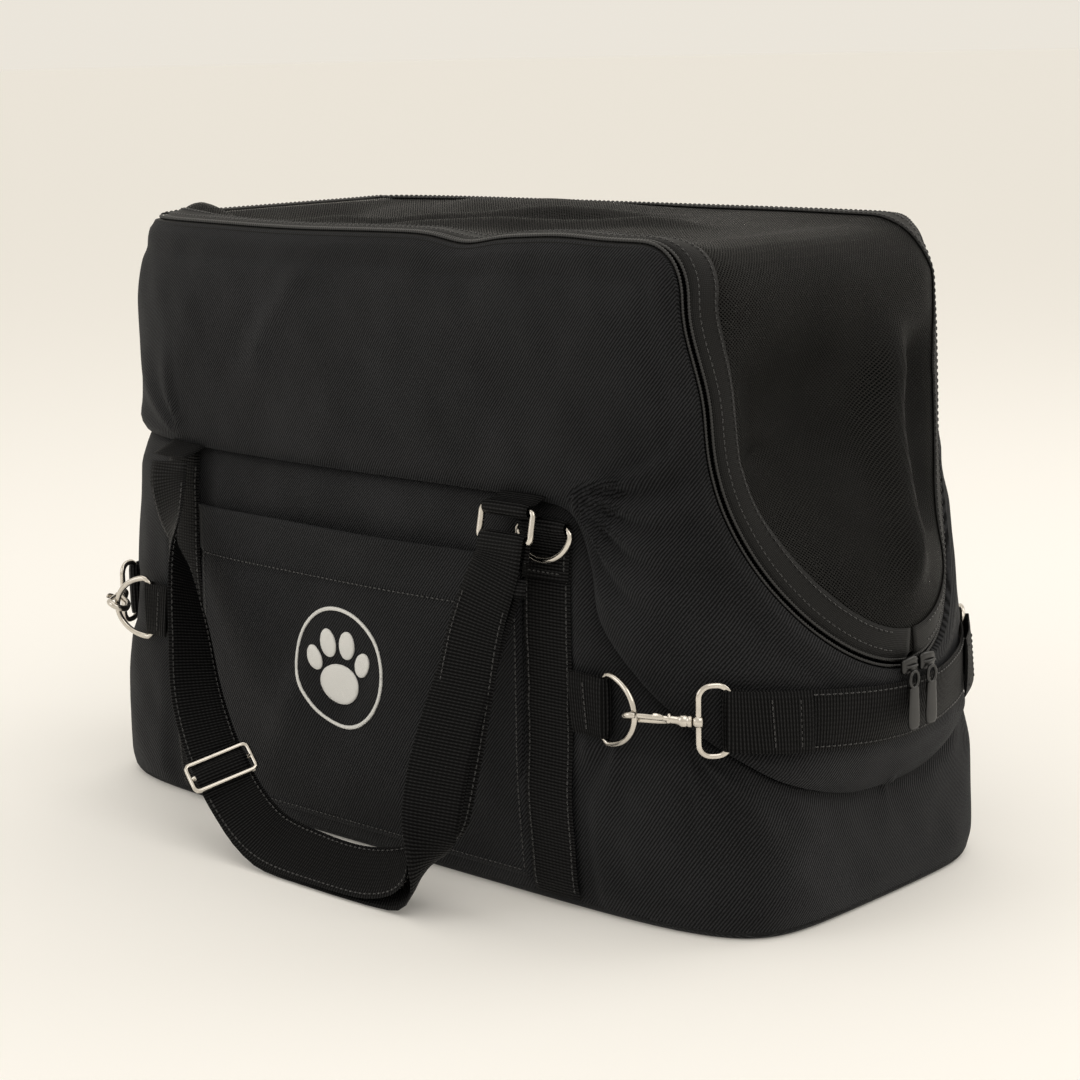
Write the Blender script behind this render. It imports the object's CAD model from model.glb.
"""Looks of the soft pet carrier bag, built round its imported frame.

Metres, in the frame of the CAD model: X runs towards the mesh front, the pocket side is -Y, Z is up.
Shapes that lie on the body repeat the CAD model's surface, so they meet its joints exactly.
"""

import math

import bmesh
import bpy
import numpy as np
from mathutils import Matrix, Vector
from mathutils.kdtree import KDTree


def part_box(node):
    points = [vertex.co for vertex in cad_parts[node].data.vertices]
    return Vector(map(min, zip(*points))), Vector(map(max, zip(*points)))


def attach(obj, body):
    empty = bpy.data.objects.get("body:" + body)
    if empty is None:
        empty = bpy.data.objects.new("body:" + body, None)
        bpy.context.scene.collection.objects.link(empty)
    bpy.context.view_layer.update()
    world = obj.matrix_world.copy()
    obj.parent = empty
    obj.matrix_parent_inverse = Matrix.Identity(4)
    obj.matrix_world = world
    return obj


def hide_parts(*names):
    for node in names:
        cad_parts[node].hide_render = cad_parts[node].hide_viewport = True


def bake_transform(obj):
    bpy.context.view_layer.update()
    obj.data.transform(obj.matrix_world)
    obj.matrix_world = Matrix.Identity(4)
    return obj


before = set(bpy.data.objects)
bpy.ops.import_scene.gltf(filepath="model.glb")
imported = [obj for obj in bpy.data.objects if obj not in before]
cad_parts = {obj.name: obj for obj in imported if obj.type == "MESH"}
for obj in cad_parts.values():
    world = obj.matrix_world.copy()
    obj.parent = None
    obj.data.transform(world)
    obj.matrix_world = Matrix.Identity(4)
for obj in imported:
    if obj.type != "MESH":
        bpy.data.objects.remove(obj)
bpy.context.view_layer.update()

# ---------------------------------------------------------------- the body's surface, as in the CAD model

# Height, rear end, front end, half width, front belly, rear belly.
STATIONS = np.array([
    (0.000, -0.250, 0.250, 0.1120, 0.002, 0.002),
    (0.030, -0.247, 0.248, 0.1150, 0.003, 0.004),
    (0.062, -0.241, 0.244, 0.1170, 0.008, 0.008),
    (0.110, -0.231, 0.234, 0.1170, 0.032, 0.010),
    (0.160, -0.224, 0.229, 0.1165, 0.034, 0.010),
    (0.210, -0.218, 0.227, 0.1150, 0.018, 0.008),
    (0.260, -0.214, 0.227, 0.1155, 0.004, 0.006),
    (0.310, -0.210, 0.226, 0.1150, 0.000, 0.003),
    (0.334, -0.204, 0.225, 0.1120, 0.000, 0.000),
])
CORNER_POWER = 6.4
REFERENCE_HALF = (0.235, 0.116)
RIM_Z = 0.334
WALL = 0.009
BASE_ROUND = 0.005
FOLD_X = 0.186
FOLD_RADIUS = 0.026
MOUTH_HALF = 0.098
MOUTH_TOP = 0.250
MOUTH_DROP = 0.128
COIL_GAP = 0.00175
COIL_SINK = 0.0035
COIL_PITCH = 0.0032
COVER_REAR_X = -0.190

# Matching points on the near side, rear centre to front centre, in millimetres: base, seam and zip line.
RIBS = (
    ((-252, 0), (-226, 0, 214), (-204, 0, 334)),
    ((-252, -55), (-226, -55, 214), (-204, -55, 334)),
    ((-243, -98), (-212, -100, 214), (-196, -97, 334)),
    ((-205, -111), (-175, -113, 212), (-160, -110, 334)),
    ((-130, -112), (-125, -115, 210), (-118, -112, 334)),
    ((-30, -112), (-30, -116, 209), (-20, -112, 334)),
    ((70, -112), (70, -116, 209), (75, -112, 334)),
    ((118, -112), (118, -116, 208), (130, -112, 334)),
    ((145, -112), (145, -115, 203), (160, -111, 334)),
    ((158, -112), (157, -115, 180), (186, -108, 334)),
    ((170, -112), (163, -115, 152), (203, -101, 323)),
    ((190, -110), (185, -112, 126), (211, -98, 300)),
    ((212, -107), (207, -107, 108), (212, -98, 262)),
    ((232, -98), (229, -92, 90), (219, -93, 212)),
    ((245, -75), (241, -72, 76), (231, -80, 168)),
    ((250, -38), (253, -36, 64), (258, -45, 135)),
    ((252, 0), (256, 0, 61), (272, 0, 122)),
)
RIB_STEPS = 14

SIDES = ((1, "near"), (-1, "far"))
FORWARDS = np.array([1.0, 0.0, 0.0])
UPWARDS = np.array([0.0, 0.0, 1.0])
WEB_WIDTH = 0.030
WEB_THICK = 0.0016
WEB_ACROSS = np.array([-0.5, 0, 0.5]) * WEB_WIDTH
SKIN_GAP = 0.0003
BAND_X = {"front": 0.131, "rear": -0.150}
BAND_TOP_BAR_Z = 0.1965
BELT_Z = 0.111
BELT_DIP = 0.0075
BELT_LIFT = 0.0010
TAB_END_X = {"front": 0.168, "rear": -0.184}
RING_OUT = 0.0042
POCKET_X = (-0.134, 0.113)
POCKET_Z = (0.012, 0.178)
POCKET_GAPE = 0.0070
POCKET_HEM = 0.027
POCKET_THICK = 0.0016
EMBLEM_XZ = (-0.012, 0.104)

STRAP_AXIS = (-0.1280, 0.2045)
STRAP_LEAN = math.radians(12)
STRAP_RING_X = 0.115
STRAP_REAR_X = -0.146
STRAP_RING = (0.0345, 0.0150)
STRAP_WIRE = 0.0017
STRAP_ROUTE = (
    ((-146, 2), (1, 0, 0)), ((-145, 14), (1, 0, 0)), ((-138, 34), (0.95, -0.30, 0)),
    ((-127, 58), (0.55, -0.84, 0)),
    ((-113, 92), (0.12, -0.99, 0)), ((-98, 130), (-0.22, -0.96, -0.16)), ((-72, 164), (-0.30, -0.87, -0.40)),
    ((-36, 189), (-0.16, -0.75, -0.64)), ((4, 196), (0, -0.70, -0.71)), ((42, 196), (0, -0.70, -0.71)),
    ((74, 187), (-0.10, -0.70, -0.71)), ((92, 166), (-0.48, -0.78, -0.40)),
    ((97, 134), (-0.74, -0.66, -0.10)),
    ((100, 98), (-0.86, -0.50, 0)), ((103, 62), (-0.95, -0.30, 0)), ((111, 30), (-0.99, -0.10, 0)),
)
GLIDE_ROUTE_POINT = 6
GLIDE_STANDOFF = 0.0019
GLIDE_SIZE = (0.0380, 0.0190, 0.0020)

WIRE = 0.0016
RING_HALF = 0.0175
BELT_RING_DEPTH = 0.0235
STRAP_D_DEPTH = 0.0170
SWIVEL_RING_DEPTH = 0.0150
HOOK_START = 0.0028
HOOK_CATCH = 0.0290
RING_TILT = math.radians(8)
HOOK_TURN = math.radians(8 - 26)


def smoothstep(x):
    x = np.clip(x, 0, 1)
    return x * x * (3 - 2 * x)


def bell(x, width):
    return np.exp(-(np.asarray(x) / width) ** 2)


def unit(vectors):
    """The same vectors, each with a length of one."""
    return vectors / (np.linalg.norm(vectors, axis=-1, keepdims=True) + 1e-12)


def circle(count):
    """Evenly spaced angles round a full turn."""
    return np.linspace(0, 2 * math.pi, count, endpoint=False)


def spun(one, two, angle):
    """Unit rings at each point of a line, from its two directions across."""
    return one[:, None] * np.cos(angle)[None, :, None] + two[:, None] * np.sin(angle)[None, :, None]


def there_and_back(values):
    return np.concatenate([values, values[::-1]])


def two_faced(top, low):
    """Rows that run along one face of a sheet and back along the other."""
    return np.concatenate([top, low[:, ::-1]], 1)


def grid_uvs(across, along):
    """UVs of a grid of rows, from one value for each column and one for each row."""
    return np.stack(np.broadcast_arrays(across[None], along[:, None]), -1)


def station(z):
    """Rear end, front end, half width and the two bellies at each height, on a smooth curve."""
    z = np.asarray(z, float)
    heights = STATIONS[:, 0]
    slopes = np.gradient(STATIONS, heights, axis=0)
    k = np.clip(np.searchsorted(heights, z, side="right") - 1, 0, len(heights) - 2)
    step = heights[k + 1] - heights[k]
    t = (z - heights[k]) / step
    values = []
    for column in range(1, STATIONS.shape[1]):
        low, high = STATIONS[k, column], STATIONS[k + 1, column]
        rise = (t ** 3 - 2 * t ** 2 + t) * slopes[k, column] + (t ** 3 - t ** 2) * slopes[k + 1, column]
        values.append((2 * t ** 3 - 3 * t ** 2 + 1) * low + (3 * t ** 2 - 2 * t ** 3) * high + rise * step)
    return values


def outline_table(count=8001):
    """The plan outline as a superellipse: fraction of the way round, unit x and y, and its length."""
    angle = np.linspace(-math.pi, math.pi, count)
    power = 2 / CORNER_POWER
    x = np.sign(np.cos(angle)) * np.abs(np.cos(angle)) ** power
    y = np.sign(np.sin(angle)) * np.abs(np.sin(angle)) ** power
    steps = np.hypot(np.diff(REFERENCE_HALF[0] * x), np.diff(REFERENCE_HALF[1] * y))
    way = np.concatenate([[0], np.cumsum(steps)])
    return way / way[-1], x, y, way[-1]


WAY, UNIT_X, UNIT_Y, PERIMETER = outline_table()


def skin(way, z):
    """Points on the outside of the body: way 0 is the rear centre, 0.5 the front centre, near side first."""
    way = np.asarray(way, float)
    x = np.interp(way % 1.0, WAY, UNIT_X)
    y = np.interp(way % 1.0, WAY, UNIT_Y)
    rear, front, half, belly_front, belly_rear = station(z)
    bulge = (1 - y ** 2) ** 2 * np.where(x > 0, belly_front, -belly_rear)
    along = (rear + front) / 2 + (front - rear) / 2 * x + bulge
    return np.stack([along, half * y, np.broadcast_to(z, along.shape).astype(float)], -1)


def outward(way, z):
    """Unit normal of the body's outside."""
    way = np.asarray(way, float)
    z = np.asarray(z, float)
    round_step = skin(way + 1e-3, z) - skin(way - 1e-3, z)
    up_step = skin(way, np.minimum(z + 1e-3, RIM_Z)) - skin(way, np.maximum(z - 1e-3, 0))
    return unit(np.cross(round_step, up_step))


def proud(way, z, out):
    """A point that stands out from the body by the given distance."""
    return skin(way, z) + outward(way, z) * np.asarray(out, float)[..., None]


def way_of(x, y, z):
    """How far round the near half the body's outline passes closest to a point."""
    ways = np.linspace(0, 0.5, 3001)
    points = skin(ways, np.full(ways.shape, z))
    return ways[np.argmin(np.hypot(points[:, 0] - x, points[:, 1] - y))]


def side_way(x, z):
    return way_of(x, -0.12, z)


def front_x(y, z):
    """Where the front of the body lies at each y."""
    rear, front, half, belly, _ = station(np.minimum(z, RIM_Z - FOLD_RADIUS))
    share = np.clip(np.abs(y) / half, 0, 0.999)
    return (rear + front) / 2 + (front - rear) / 2 * (1 - share ** CORNER_POWER) ** (1 / CORNER_POWER) + (
        belly * (1 - share ** 2) ** 2
    )


def rim_line():
    """The near half's zip line, as (way, z): along the rim, over the front corner, round the mouth."""
    top_way = np.linspace(0, side_way(FOLD_X, RIM_Z), 80)
    line = [(way, RIM_Z) for way in top_way]
    for angle in np.radians(np.arange(10, 91, 10)):
        x = FOLD_X + FOLD_RADIUS * math.sin(angle)
        z = RIM_Z - FOLD_RADIUS * (1 - math.cos(angle))
        line.append((side_way(x, z), z))
    corner = line[-1][0]
    for t in np.linspace(0.1, 1, 10):
        z = RIM_Z - FOLD_RADIUS + (MOUTH_TOP - RIM_Z + FOLD_RADIUS) * t
        face = way_of(front_x(MOUTH_HALF, z), -MOUTH_HALF, z)
        line.append((corner + (face - corner) * t * t * (3 - 2 * t), z))
    for angle in np.radians(np.arange(86, -1, -4)):
        y = -MOUTH_HALF * math.sin(angle)
        z = MOUTH_TOP - MOUTH_DROP * math.cos(angle)
        line.append((way_of(front_x(y, z), y, z), z))
    return np.array(line)


def travel_of(points):
    """Distance along a line of points at each of them."""
    steps = np.linalg.norm(np.diff(points, axis=0), axis=1)
    return np.concatenate([[0], np.cumsum(steps)])


def resampled(points, spacing):
    """The same line with evenly spaced points."""
    points = np.asarray(points, float)
    travel = travel_of(points)
    count = max(2, int(round(travel[-1] / spacing)) + 1)
    at = np.linspace(0, travel[-1], count)
    return np.stack([np.interp(at, travel, points[:, k]) for k in range(points.shape[1])], -1)


def smooth_line(points, steps):
    """A Catmull-Rom curve through the points, with the given number of steps between each two."""
    points = np.asarray(points, float)
    padded = np.concatenate([[2 * points[0] - points[1]], points, [2 * points[-1] - points[-2]]])
    curve = []
    for k in range(len(points) - 1):
        a, b, c, d = padded[k:k + 4]
        for t in np.arange(steps) / steps:
            curve.append(0.5 * (2 * b + (c - a) * t + (2 * a - 5 * b + 4 * c - d) * t ** 2 + (
                3 * b - a - 3 * c + d) * t ** 3))
    curve.append(points[-1])
    return np.array(curve)


def softened(points, passes):
    """The line with its kinks eased out, its ends kept."""
    points = np.array(points, float)
    for _ in range(passes):
        points[1:-1] = 0.25 * points[:-2] + 0.5 * points[1:-1] + 0.25 * points[2:]
    return points


def rib_lines():
    """Base, seam and zip lines of the near half, column by column, as (way, z)."""
    rim = rim_line()
    rim_points = skin(rim[:, 0], rim[:, 1])
    base, seam, rim_keys = [], [], []
    travel = travel_of(rim_points)
    for foot, join, top in RIBS:
        base.append((way_of(foot[0] / 1000, foot[1] / 1000, 0), 0))
        seam.append((way_of(*(np.array(join) / 1000)), join[2] / 1000))
        rim_keys.append(travel[np.argmin(np.linalg.norm(rim_points - np.array(top) / 1000, axis=1))])
    steps = np.arange((len(RIBS) - 1) * RIB_STEPS + 1) / RIB_STEPS
    positions = softened(np.interp(steps, np.arange(len(RIBS)), rim_keys)[:, None], 30)[:, 0]
    rim_columns = np.stack([np.interp(positions, travel, rim[:, k]) for k in (0, 1)], -1)
    return smooth_line(base, RIB_STEPS), smooth_line(seam, RIB_STEPS), softened(rim_columns, 6)


BASE, SEAM, RIM = rib_lines()


def both_sides(columns):
    """Mirrors near-half columns of (way, z) to the far half, for a closed ring."""
    far = columns[-2:0:-1].copy()
    far[:, 0] = 1 - far[:, 0]
    return np.concatenate([columns, far])


# ---------------------------------------------------------------- padding and wrinkles of the body

# Fans of pull folds: centre (x, z) on the side, first and last angle (degrees from forwards, up is positive),
# folds in the fan, how far they reach and how high they stand.
FANS = (
    ((0.140, 0.212), -62, 24, 4.5, 0.105, 0.0021),
    ((0.176, 0.112), 150, 262, 3.5, 0.085, 0.0015),
    ((0.215, 0.100), -95, -20, 2.5, 0.070, 0.0012),
    ((-0.150, 0.212), 100, 200, 3.0, 0.070, 0.0009),
    ((-0.180, 0.112), -70, 40, 3.0, 0.060, 0.0010),
)
# Single soft folds on the side: two ends (x, z), width and height.
FOLDS = (
    ((-0.035, 0.322), (-0.085, 0.262), 0.007, 0.0012),
    ((-0.050, 0.322), (-0.110, 0.250), 0.009, -0.0008),
    ((0.165, 0.040), (0.225, 0.085), 0.010, 0.0012),
    ((0.150, 0.075), (0.205, 0.050), 0.008, -0.0010),
    ((-0.225, 0.060), (-0.190, 0.150), 0.012, 0.0012),
)


def near_distance(way, z, line):
    """Distance over the skin to a near-half line, both halves alike."""
    way, z = np.asarray(way, float), np.asarray(z, float)
    folded = np.minimum(way % 1, 1 - way % 1) * PERIMETER
    result = np.full(folded.shape, np.inf)
    for a, b in zip(line[:-1], line[1:]):
        start = np.array([a[0] * PERIMETER, a[1]])
        step = np.array([b[0] * PERIMETER, b[1]]) - start
        t = np.clip(((folded - start[0]) * step[0] + (z - start[1]) * step[1]) / (step @ step + 1e-12), 0, 1)
        result = np.minimum(result, np.hypot(folded - start[0] - step[0] * t, z - start[1] - step[1] * t))
    return result


def belt_height(way):
    """The belt dips a little where it passes round the front."""
    closeness = np.clip(1 - np.abs(0.5 - way) / 0.10, 0, 1)
    return BELT_Z - BELT_DIP * closeness ** 2 * (3 - 2 * closeness)


def flow(way, z):
    """Broad, slow unevenness of stuffed fabric, from a few waves, periodic round the body."""
    turn = 2 * math.pi * np.asarray(way)
    return (
        0.40 * np.sin(9 * turn + 31 * z + 0.7) + 0.30 * np.sin(16 * turn - 47 * z + 2.1)
        + 0.22 * np.sin(23 * turn + 83 * z + 4.0) + 0.16 * np.sin(37 * turn - 61 * z + 1.3)
        + 0.12 * np.sin(51 * turn + 148 * z + 5.2)
    )


def folds(way, z):
    """Pull folds and single folds, on both long sides and round the corners."""
    folded = np.minimum(way % 1, 1 - way % 1) * PERIMETER
    total = np.zeros(folded.shape)
    for (x, height), low, high, count, reach, size in FANS:
        across = folded - side_way(x, height) * PERIMETER
        up = z - height
        angle = np.degrees(np.arctan2(up, across))
        angle = np.where(angle < low - 60, angle + 360, angle)
        share = (angle - low) / (high - low)
        distance = np.hypot(across, up)
        strength = smoothstep(distance / 0.016) * (1 - smoothstep(distance / reach - 0.35))
        window = smoothstep(share * 6 + 0.5) * smoothstep((1 - share) * 6 + 0.5)
        bend = share + 0.05 * np.sin(distance * 70 + count)
        total += size * strength * window * np.sin(2 * math.pi * count * bend)
    for (x0, z0), (x1, z1), width, size in FOLDS:
        a = np.array([side_way(x0, z0) * PERIMETER, z0])
        b = np.array([side_way(x1, z1) * PERIMETER, z1])
        step = b - a
        t = ((folded - a[0]) * step[0] + (z - a[1]) * step[1]) / (step @ step)
        off = (folded - a[0]) * step[1] - (z - a[1]) * step[0]
        ends = smoothstep(t * 3 + 0.3), smoothstep((1 - t) * 3 + 0.3)
        total += size * bell(off / np.linalg.norm(step), width) * ends[0] * ends[1]
    return total


def pressing(way, z):
    """0 where webbing holds the padding down, 1 elsewhere."""
    folded = np.minimum(way % 1, 1 - way % 1)
    free = np.ones(folded.shape)
    for x in BAND_X.values():
        off = np.abs(folded - side_way(x, 0.1)) * PERIMETER
        free *= 1 - 0.85 * (1 - smoothstep((off - 0.014) / 0.010)) * (1 - smoothstep((z - 0.200) / 0.012))
    lift = np.abs(z - belt_height(folded))
    under_belt = 1 - smoothstep((lift - 0.014) / 0.009)
    ends = (folded > side_way(0.146, BELT_Z)) | (folded < side_way(-0.165, BELT_Z))
    return free * (1 - 0.62 * under_belt * ends)


def unevenness(way, z):
    """Stuffing and pull folds together."""
    return 0.0010 * flow(way, z) + 1.35 * folds(way, z)


def upper_relief(way, z):
    """The upper panel's relief: its rolled edge, its crown and the groove at the seam."""
    seam, rim = near_distance(way, z, SEAM[::3]), near_distance(way, z, RIM[::3])
    roll = 0.0021 * smoothstep(rim / 0.006) - 0.0013 * bell(rim - 0.016, 0.0045)
    crown = 0.0016 * smoothstep((rim - 0.018) / 0.030) * smoothstep(seam / 0.030)
    edge = -0.0016 * bell(seam, 0.0030) + 0.0008 * bell(seam - 0.008, 0.005)
    soft = unevenness(way, z) * smoothstep(rim / 0.014) * smoothstep(seam / 0.006)
    return (roll + crown + edge) * pressing(way, z) + soft * pressing(way, z)


def lower_relief(way, z):
    """The lower panel's relief: its crown, with a deeper groove at the seam."""
    seam = near_distance(way, z, SEAM[::3])
    crown = 0.0022 * smoothstep((seam - 0.003) / 0.020) * smoothstep(z / 0.014)
    edge = -0.0034 * bell(seam, 0.0060)
    soft = unevenness(way, z) * smoothstep(seam / 0.012) * smoothstep(z / 0.020)
    return (crown + soft) * pressing(way, z) + edge


def sway(points):
    """The near side's zip edge dips and waves a little between the rear corner and the front."""
    points = np.array(points, float)
    x, y, z = points[..., 0], points[..., 1], points[..., 2]
    near = smoothstep((-y - 0.06) / 0.04) * smoothstep((z - 0.305) / 0.026)
    dip = -0.0040 * bell(x - 0.072, 0.020) - 0.0012 * bell(x + 0.06, 0.06) + 0.0014 * bell(x - 0.135, 0.022)
    points[..., 2] += near * dip
    return points


# ---------------------------------------------------------------- materials

def new_material(name, colour, roughness, metallic=0.0, sheen=0.0, sheen_tint=(1, 1, 1, 1), specular=0.5):
    """A material, with constants set straight on the shader."""
    made = bpy.data.materials.new(name)
    made.use_nodes = True
    shader = made.node_tree.nodes["Principled BSDF"]
    shader.inputs["Base Color"].default_value = (*colour, 1)
    shader.inputs["Roughness"].default_value = roughness
    shader.inputs["Metallic"].default_value = metallic
    shader.inputs["Sheen Weight"].default_value = sheen
    shader.inputs["Sheen Roughness"].default_value = 0.45
    shader.inputs["Sheen Tint"].default_value = sheen_tint
    shader.inputs["Specular IOR Level"].default_value = specular
    return made, made.node_tree, shader


def node(tree, kind, links=None, **values):
    """Adds a node, with inputs set from values and from the sockets in links."""
    made = tree.nodes.new(kind)
    for name, value in values.items():
        if hasattr(made, name):
            setattr(made, name, value)
        else:
            made.inputs[name.replace("_", " ")].default_value = value
    for name, socket in (links or {}).items():
        tree.links.new(socket, made.inputs[name])
    return made


def math_node(tree, operation, a, b=None):
    made = tree.nodes.new("ShaderNodeMath")
    made.operation = operation
    for k, value in enumerate((a, b)):
        if value is None:
            continue
        if isinstance(value, (int, float)):
            made.inputs[k].default_value = value
        else:
            tree.links.new(value, made.inputs[k])
    return made.outputs[0]


def weighted(tree, a, share_a, b, share_b):
    """The sum of two sockets, each times its share."""
    first = math_node(tree, "MULTIPLY", a, share_a)
    return math_node(tree, "ADD", first, math_node(tree, "MULTIPLY", b, share_b))


def rotated(tree, uv, degrees):
    turn = (0, 0, math.radians(degrees))
    return node(tree, "ShaderNodeMapping", {"Vector": uv}, Rotation=turn).outputs["Vector"]


def surface_uv(tree):
    return node(tree, "ShaderNodeTexCoord").outputs["UV"]


def ribs(tree, uv, direction, pitch, distortion=0.0):
    """A row of soft ridges across one UV direction, pitch in metres."""
    wave = node(tree, "ShaderNodeTexWave", {"Vector": uv}, wave_type="BANDS", bands_direction=direction,
                Scale=math.pi / (10 * pitch), Distortion=distortion, Detail=0.0)
    return wave.outputs["Fac"]


def noise(tree, uv, scale, detail=3.0, roughness=0.5):
    made = node(tree, "ShaderNodeTexNoise", {"Vector": uv}, Scale=scale, Detail=detail, Roughness=roughness)
    return made.outputs["Fac"]


def two_tone(tree, factor, dark, light, low=0.2, high=0.8):
    ramp = node(tree, "ShaderNodeValToRGB", {"Fac": factor})
    ramp.color_ramp.elements[0].position = low
    ramp.color_ramp.elements[0].color = (*dark, 1)
    ramp.color_ramp.elements[1].position = high
    ramp.color_ramp.elements[1].color = (*light, 1)
    return ramp.outputs["Color"]


def finish_material(tree, shader, colour, height, strength, distance):
    """Joins a colour and a bump height to the shader."""
    if colour is not None:
        tree.links.new(colour, shader.inputs["Base Color"])
    bump = node(tree, "ShaderNodeBump", {"Height": height}, Strength=strength, Distance=distance)
    tree.links.new(bump.outputs["Normal"], shader.inputs["Normal"])


def twill(name, dark, light, sheen=0.35, pitch=0.0014, wear=0.35):
    """Fine twill over padding: diagonal ribs, thread grain and faint dusty patches."""
    made, tree, shader = new_material(name, dark, 0.66, sheen=sheen, sheen_tint=(0.90, 0.94, 1.0, 1),
                                      specular=0.10)
    uv = surface_uv(tree)
    turned = rotated(tree, uv, 38)
    diagonal = ribs(tree, turned, "X", pitch, 0.35)
    grain = noise(tree, uv, 900, 2.0)
    patches = noise(tree, uv, 14, 4.0, 0.6)
    height = weighted(tree, diagonal, 0.55, grain, 0.6)
    tone = weighted(tree, height, 1 - wear, patches, wear)
    finish_material(tree, shader, two_tone(tree, tone, dark, light, 0.41, 0.76), height, 0.9, 0.0007)
    return made


def woven_webbing(name, dark, light, pitch=0.0017, across=0.0023):
    """Heavy ribbed webbing: short cross ribs broken into columns."""
    made, tree, shader = new_material(name, dark, 0.50, specular=0.07)
    uv = surface_uv(tree)
    length_ribs = ribs(tree, uv, "Y", pitch, 0.15)
    columns = ribs(tree, uv, "X", across, 0.1)
    grain = noise(tree, uv, 1800, 2.0)
    broken = math_node(tree, "ADD", math_node(tree, "MULTIPLY", columns, 0.45), 0.55)
    height = math_node(tree, "MULTIPLY", length_ribs, broken)
    height = math_node(tree, "ADD", height, math_node(tree, "MULTIPLY", grain, 0.25))
    finish_material(tree, shader, two_tone(tree, height, dark, light, 0.30, 1.0), height, 1.0, 0.0007)
    return made


def mesh_fabric(name):
    """Open knitted mesh: a diamond grid of threads with holes that let light through."""
    made, tree, shader = new_material(name, (0.02, 0.02, 0.02), 0.50, specular=0.07)
    uv = surface_uv(tree)
    turned = rotated(tree, uv, 45)
    one, two = ribs(tree, turned, "X", 0.00135, 0.1), ribs(tree, turned, "Y", 0.00135, 0.1)
    threads = math_node(tree, "MAXIMUM", one, two)
    patches = noise(tree, uv, 20, 3.0)
    tone = weighted(tree, threads, 0.7, patches, 0.3)
    colour = two_tone(tree, tone, (0.0003, 0.0003, 0.0003), (0.0260, 0.0258, 0.0248), 0.48, 1.0)
    finish_material(tree, shader, colour, threads, 1.0, 0.0006)
    cover = node(tree, "ShaderNodeMapRange", {"Value": threads}, From_Min=0.42, From_Max=0.62, To_Min=0.30,
                 To_Max=1.0)
    tree.links.new(cover.outputs["Result"], shader.inputs["Alpha"])
    return made


def tape_fabric(name):
    made, tree, shader = new_material(name, (0.01, 0.01, 0.01), 0.6, sheen=0.05, specular=0.2)
    uv = surface_uv(tree)
    weave = math_node(tree, "MULTIPLY", ribs(tree, uv, "X", 0.0009), ribs(tree, uv, "Y", 0.0009))
    finish_material(tree, shader, two_tone(tree, weave, (0.0025, 0.0025, 0.0025), (0.0160, 0.0160, 0.0158),
                                           0.1, 0.9), weave, 0.7, 0.0003)
    return made


def polished(name, colour, roughness, scratches=0.3):
    made, tree, shader = new_material(name, colour, roughness, metallic=1.0)
    place = node(tree, "ShaderNodeTexCoord").outputs["Object"]
    uneven = noise(tree, place, 160, 4.0, 0.6)
    rough = node(tree, "ShaderNodeMapRange", {"Value": uneven}, To_Min=roughness * 0.6,
                 To_Max=roughness * 1.7)
    tree.links.new(rough.outputs["Result"], shader.inputs["Roughness"])
    finish_material(tree, shader, two_tone(tree, uneven, tuple(0.86 * c for c in colour), colour, 0.3, 0.6),
                    uneven, scratches, 0.0002)
    return made


def plastic(name, colour, roughness):
    made, tree, shader = new_material(name, colour, roughness, specular=0.5)
    place = node(tree, "ShaderNodeTexCoord").outputs["Object"]
    grain = noise(tree, place, 900, 3.0)
    light = tuple(min(1, 1.6 * c) for c in colour)
    finish_material(tree, shader, two_tone(tree, grain, colour, light), grain, 0.3, 0.0002)
    return made


def thread(name, dark, light):
    made, tree, shader = new_material(name, light, 0.5, sheen=0.4, specular=0.4)
    uv = surface_uv(tree)
    strands = ribs(tree, uv, "X", 0.0005, 0.6)
    finish_material(tree, shader, two_tone(tree, strands, dark, light, 0.0, 0.6), strands, 0.6, 0.0003)
    return made


TWILL = twill("padded_twill", (0.0005, 0.0006, 0.0009), (0.0245, 0.0250, 0.0275), sheen=0.05)
LINING = twill("lining", (0.0015, 0.0015, 0.0017), (0.0120, 0.0120, 0.0125), sheen=0.03)
CUSHION_TWILL = twill("cushion_twill", (0.010, 0.010, 0.011), (0.030, 0.030, 0.033), sheen=0.2)
WEBBING = woven_webbing("ribbed_webbing", (0.0002, 0.0002, 0.0003), (0.0190, 0.0192, 0.0200))
MESH = mesh_fabric("open_mesh")
TAPE = tape_fabric("zip_tape")
COIL = plastic("zip_coil", (0.006, 0.006, 0.006), 0.30)
NICKEL = polished("polished_nickel", (0.66, 0.62, 0.56), 0.14)
BLACK_METAL = polished("blackened_metal", (0.06, 0.06, 0.06), 0.30)
BOARD = plastic("base_board_sheet", (0.05, 0.05, 0.052), 0.6)
DARK_THREAD = thread("dark_thread", (0.004, 0.004, 0.004), (0.022, 0.022, 0.023))
WHITE_THREAD = thread("white_thread", (0.55, 0.55, 0.53), (0.86, 0.86, 0.84))


# ---------------------------------------------------------------- building blocks

def mesh_object(name, points, faces, uvs, material, body):
    """A smooth-shaded mesh with one UV per point, riding on a body."""
    mesh = bpy.data.meshes.new(name)
    mesh.from_pydata([tuple(p) for p in np.asarray(points, float)], [], [tuple(map(int, f)) for f in faces])
    layer = mesh.uv_layers.new(name="UVMap")
    corners = np.empty(len(mesh.loops), np.int32)
    mesh.loops.foreach_get("vertex_index", corners)
    layer.data.foreach_set("uv", np.asarray(uvs, np.float32)[corners].ravel())
    mesh.polygons.foreach_set("use_smooth", np.ones(len(mesh.polygons), bool))
    mesh.materials.append(material)
    obj = bpy.data.objects.new(name, mesh)
    bpy.context.scene.collection.objects.link(obj)
    if body:
        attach(obj, body)
    return obj


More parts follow.
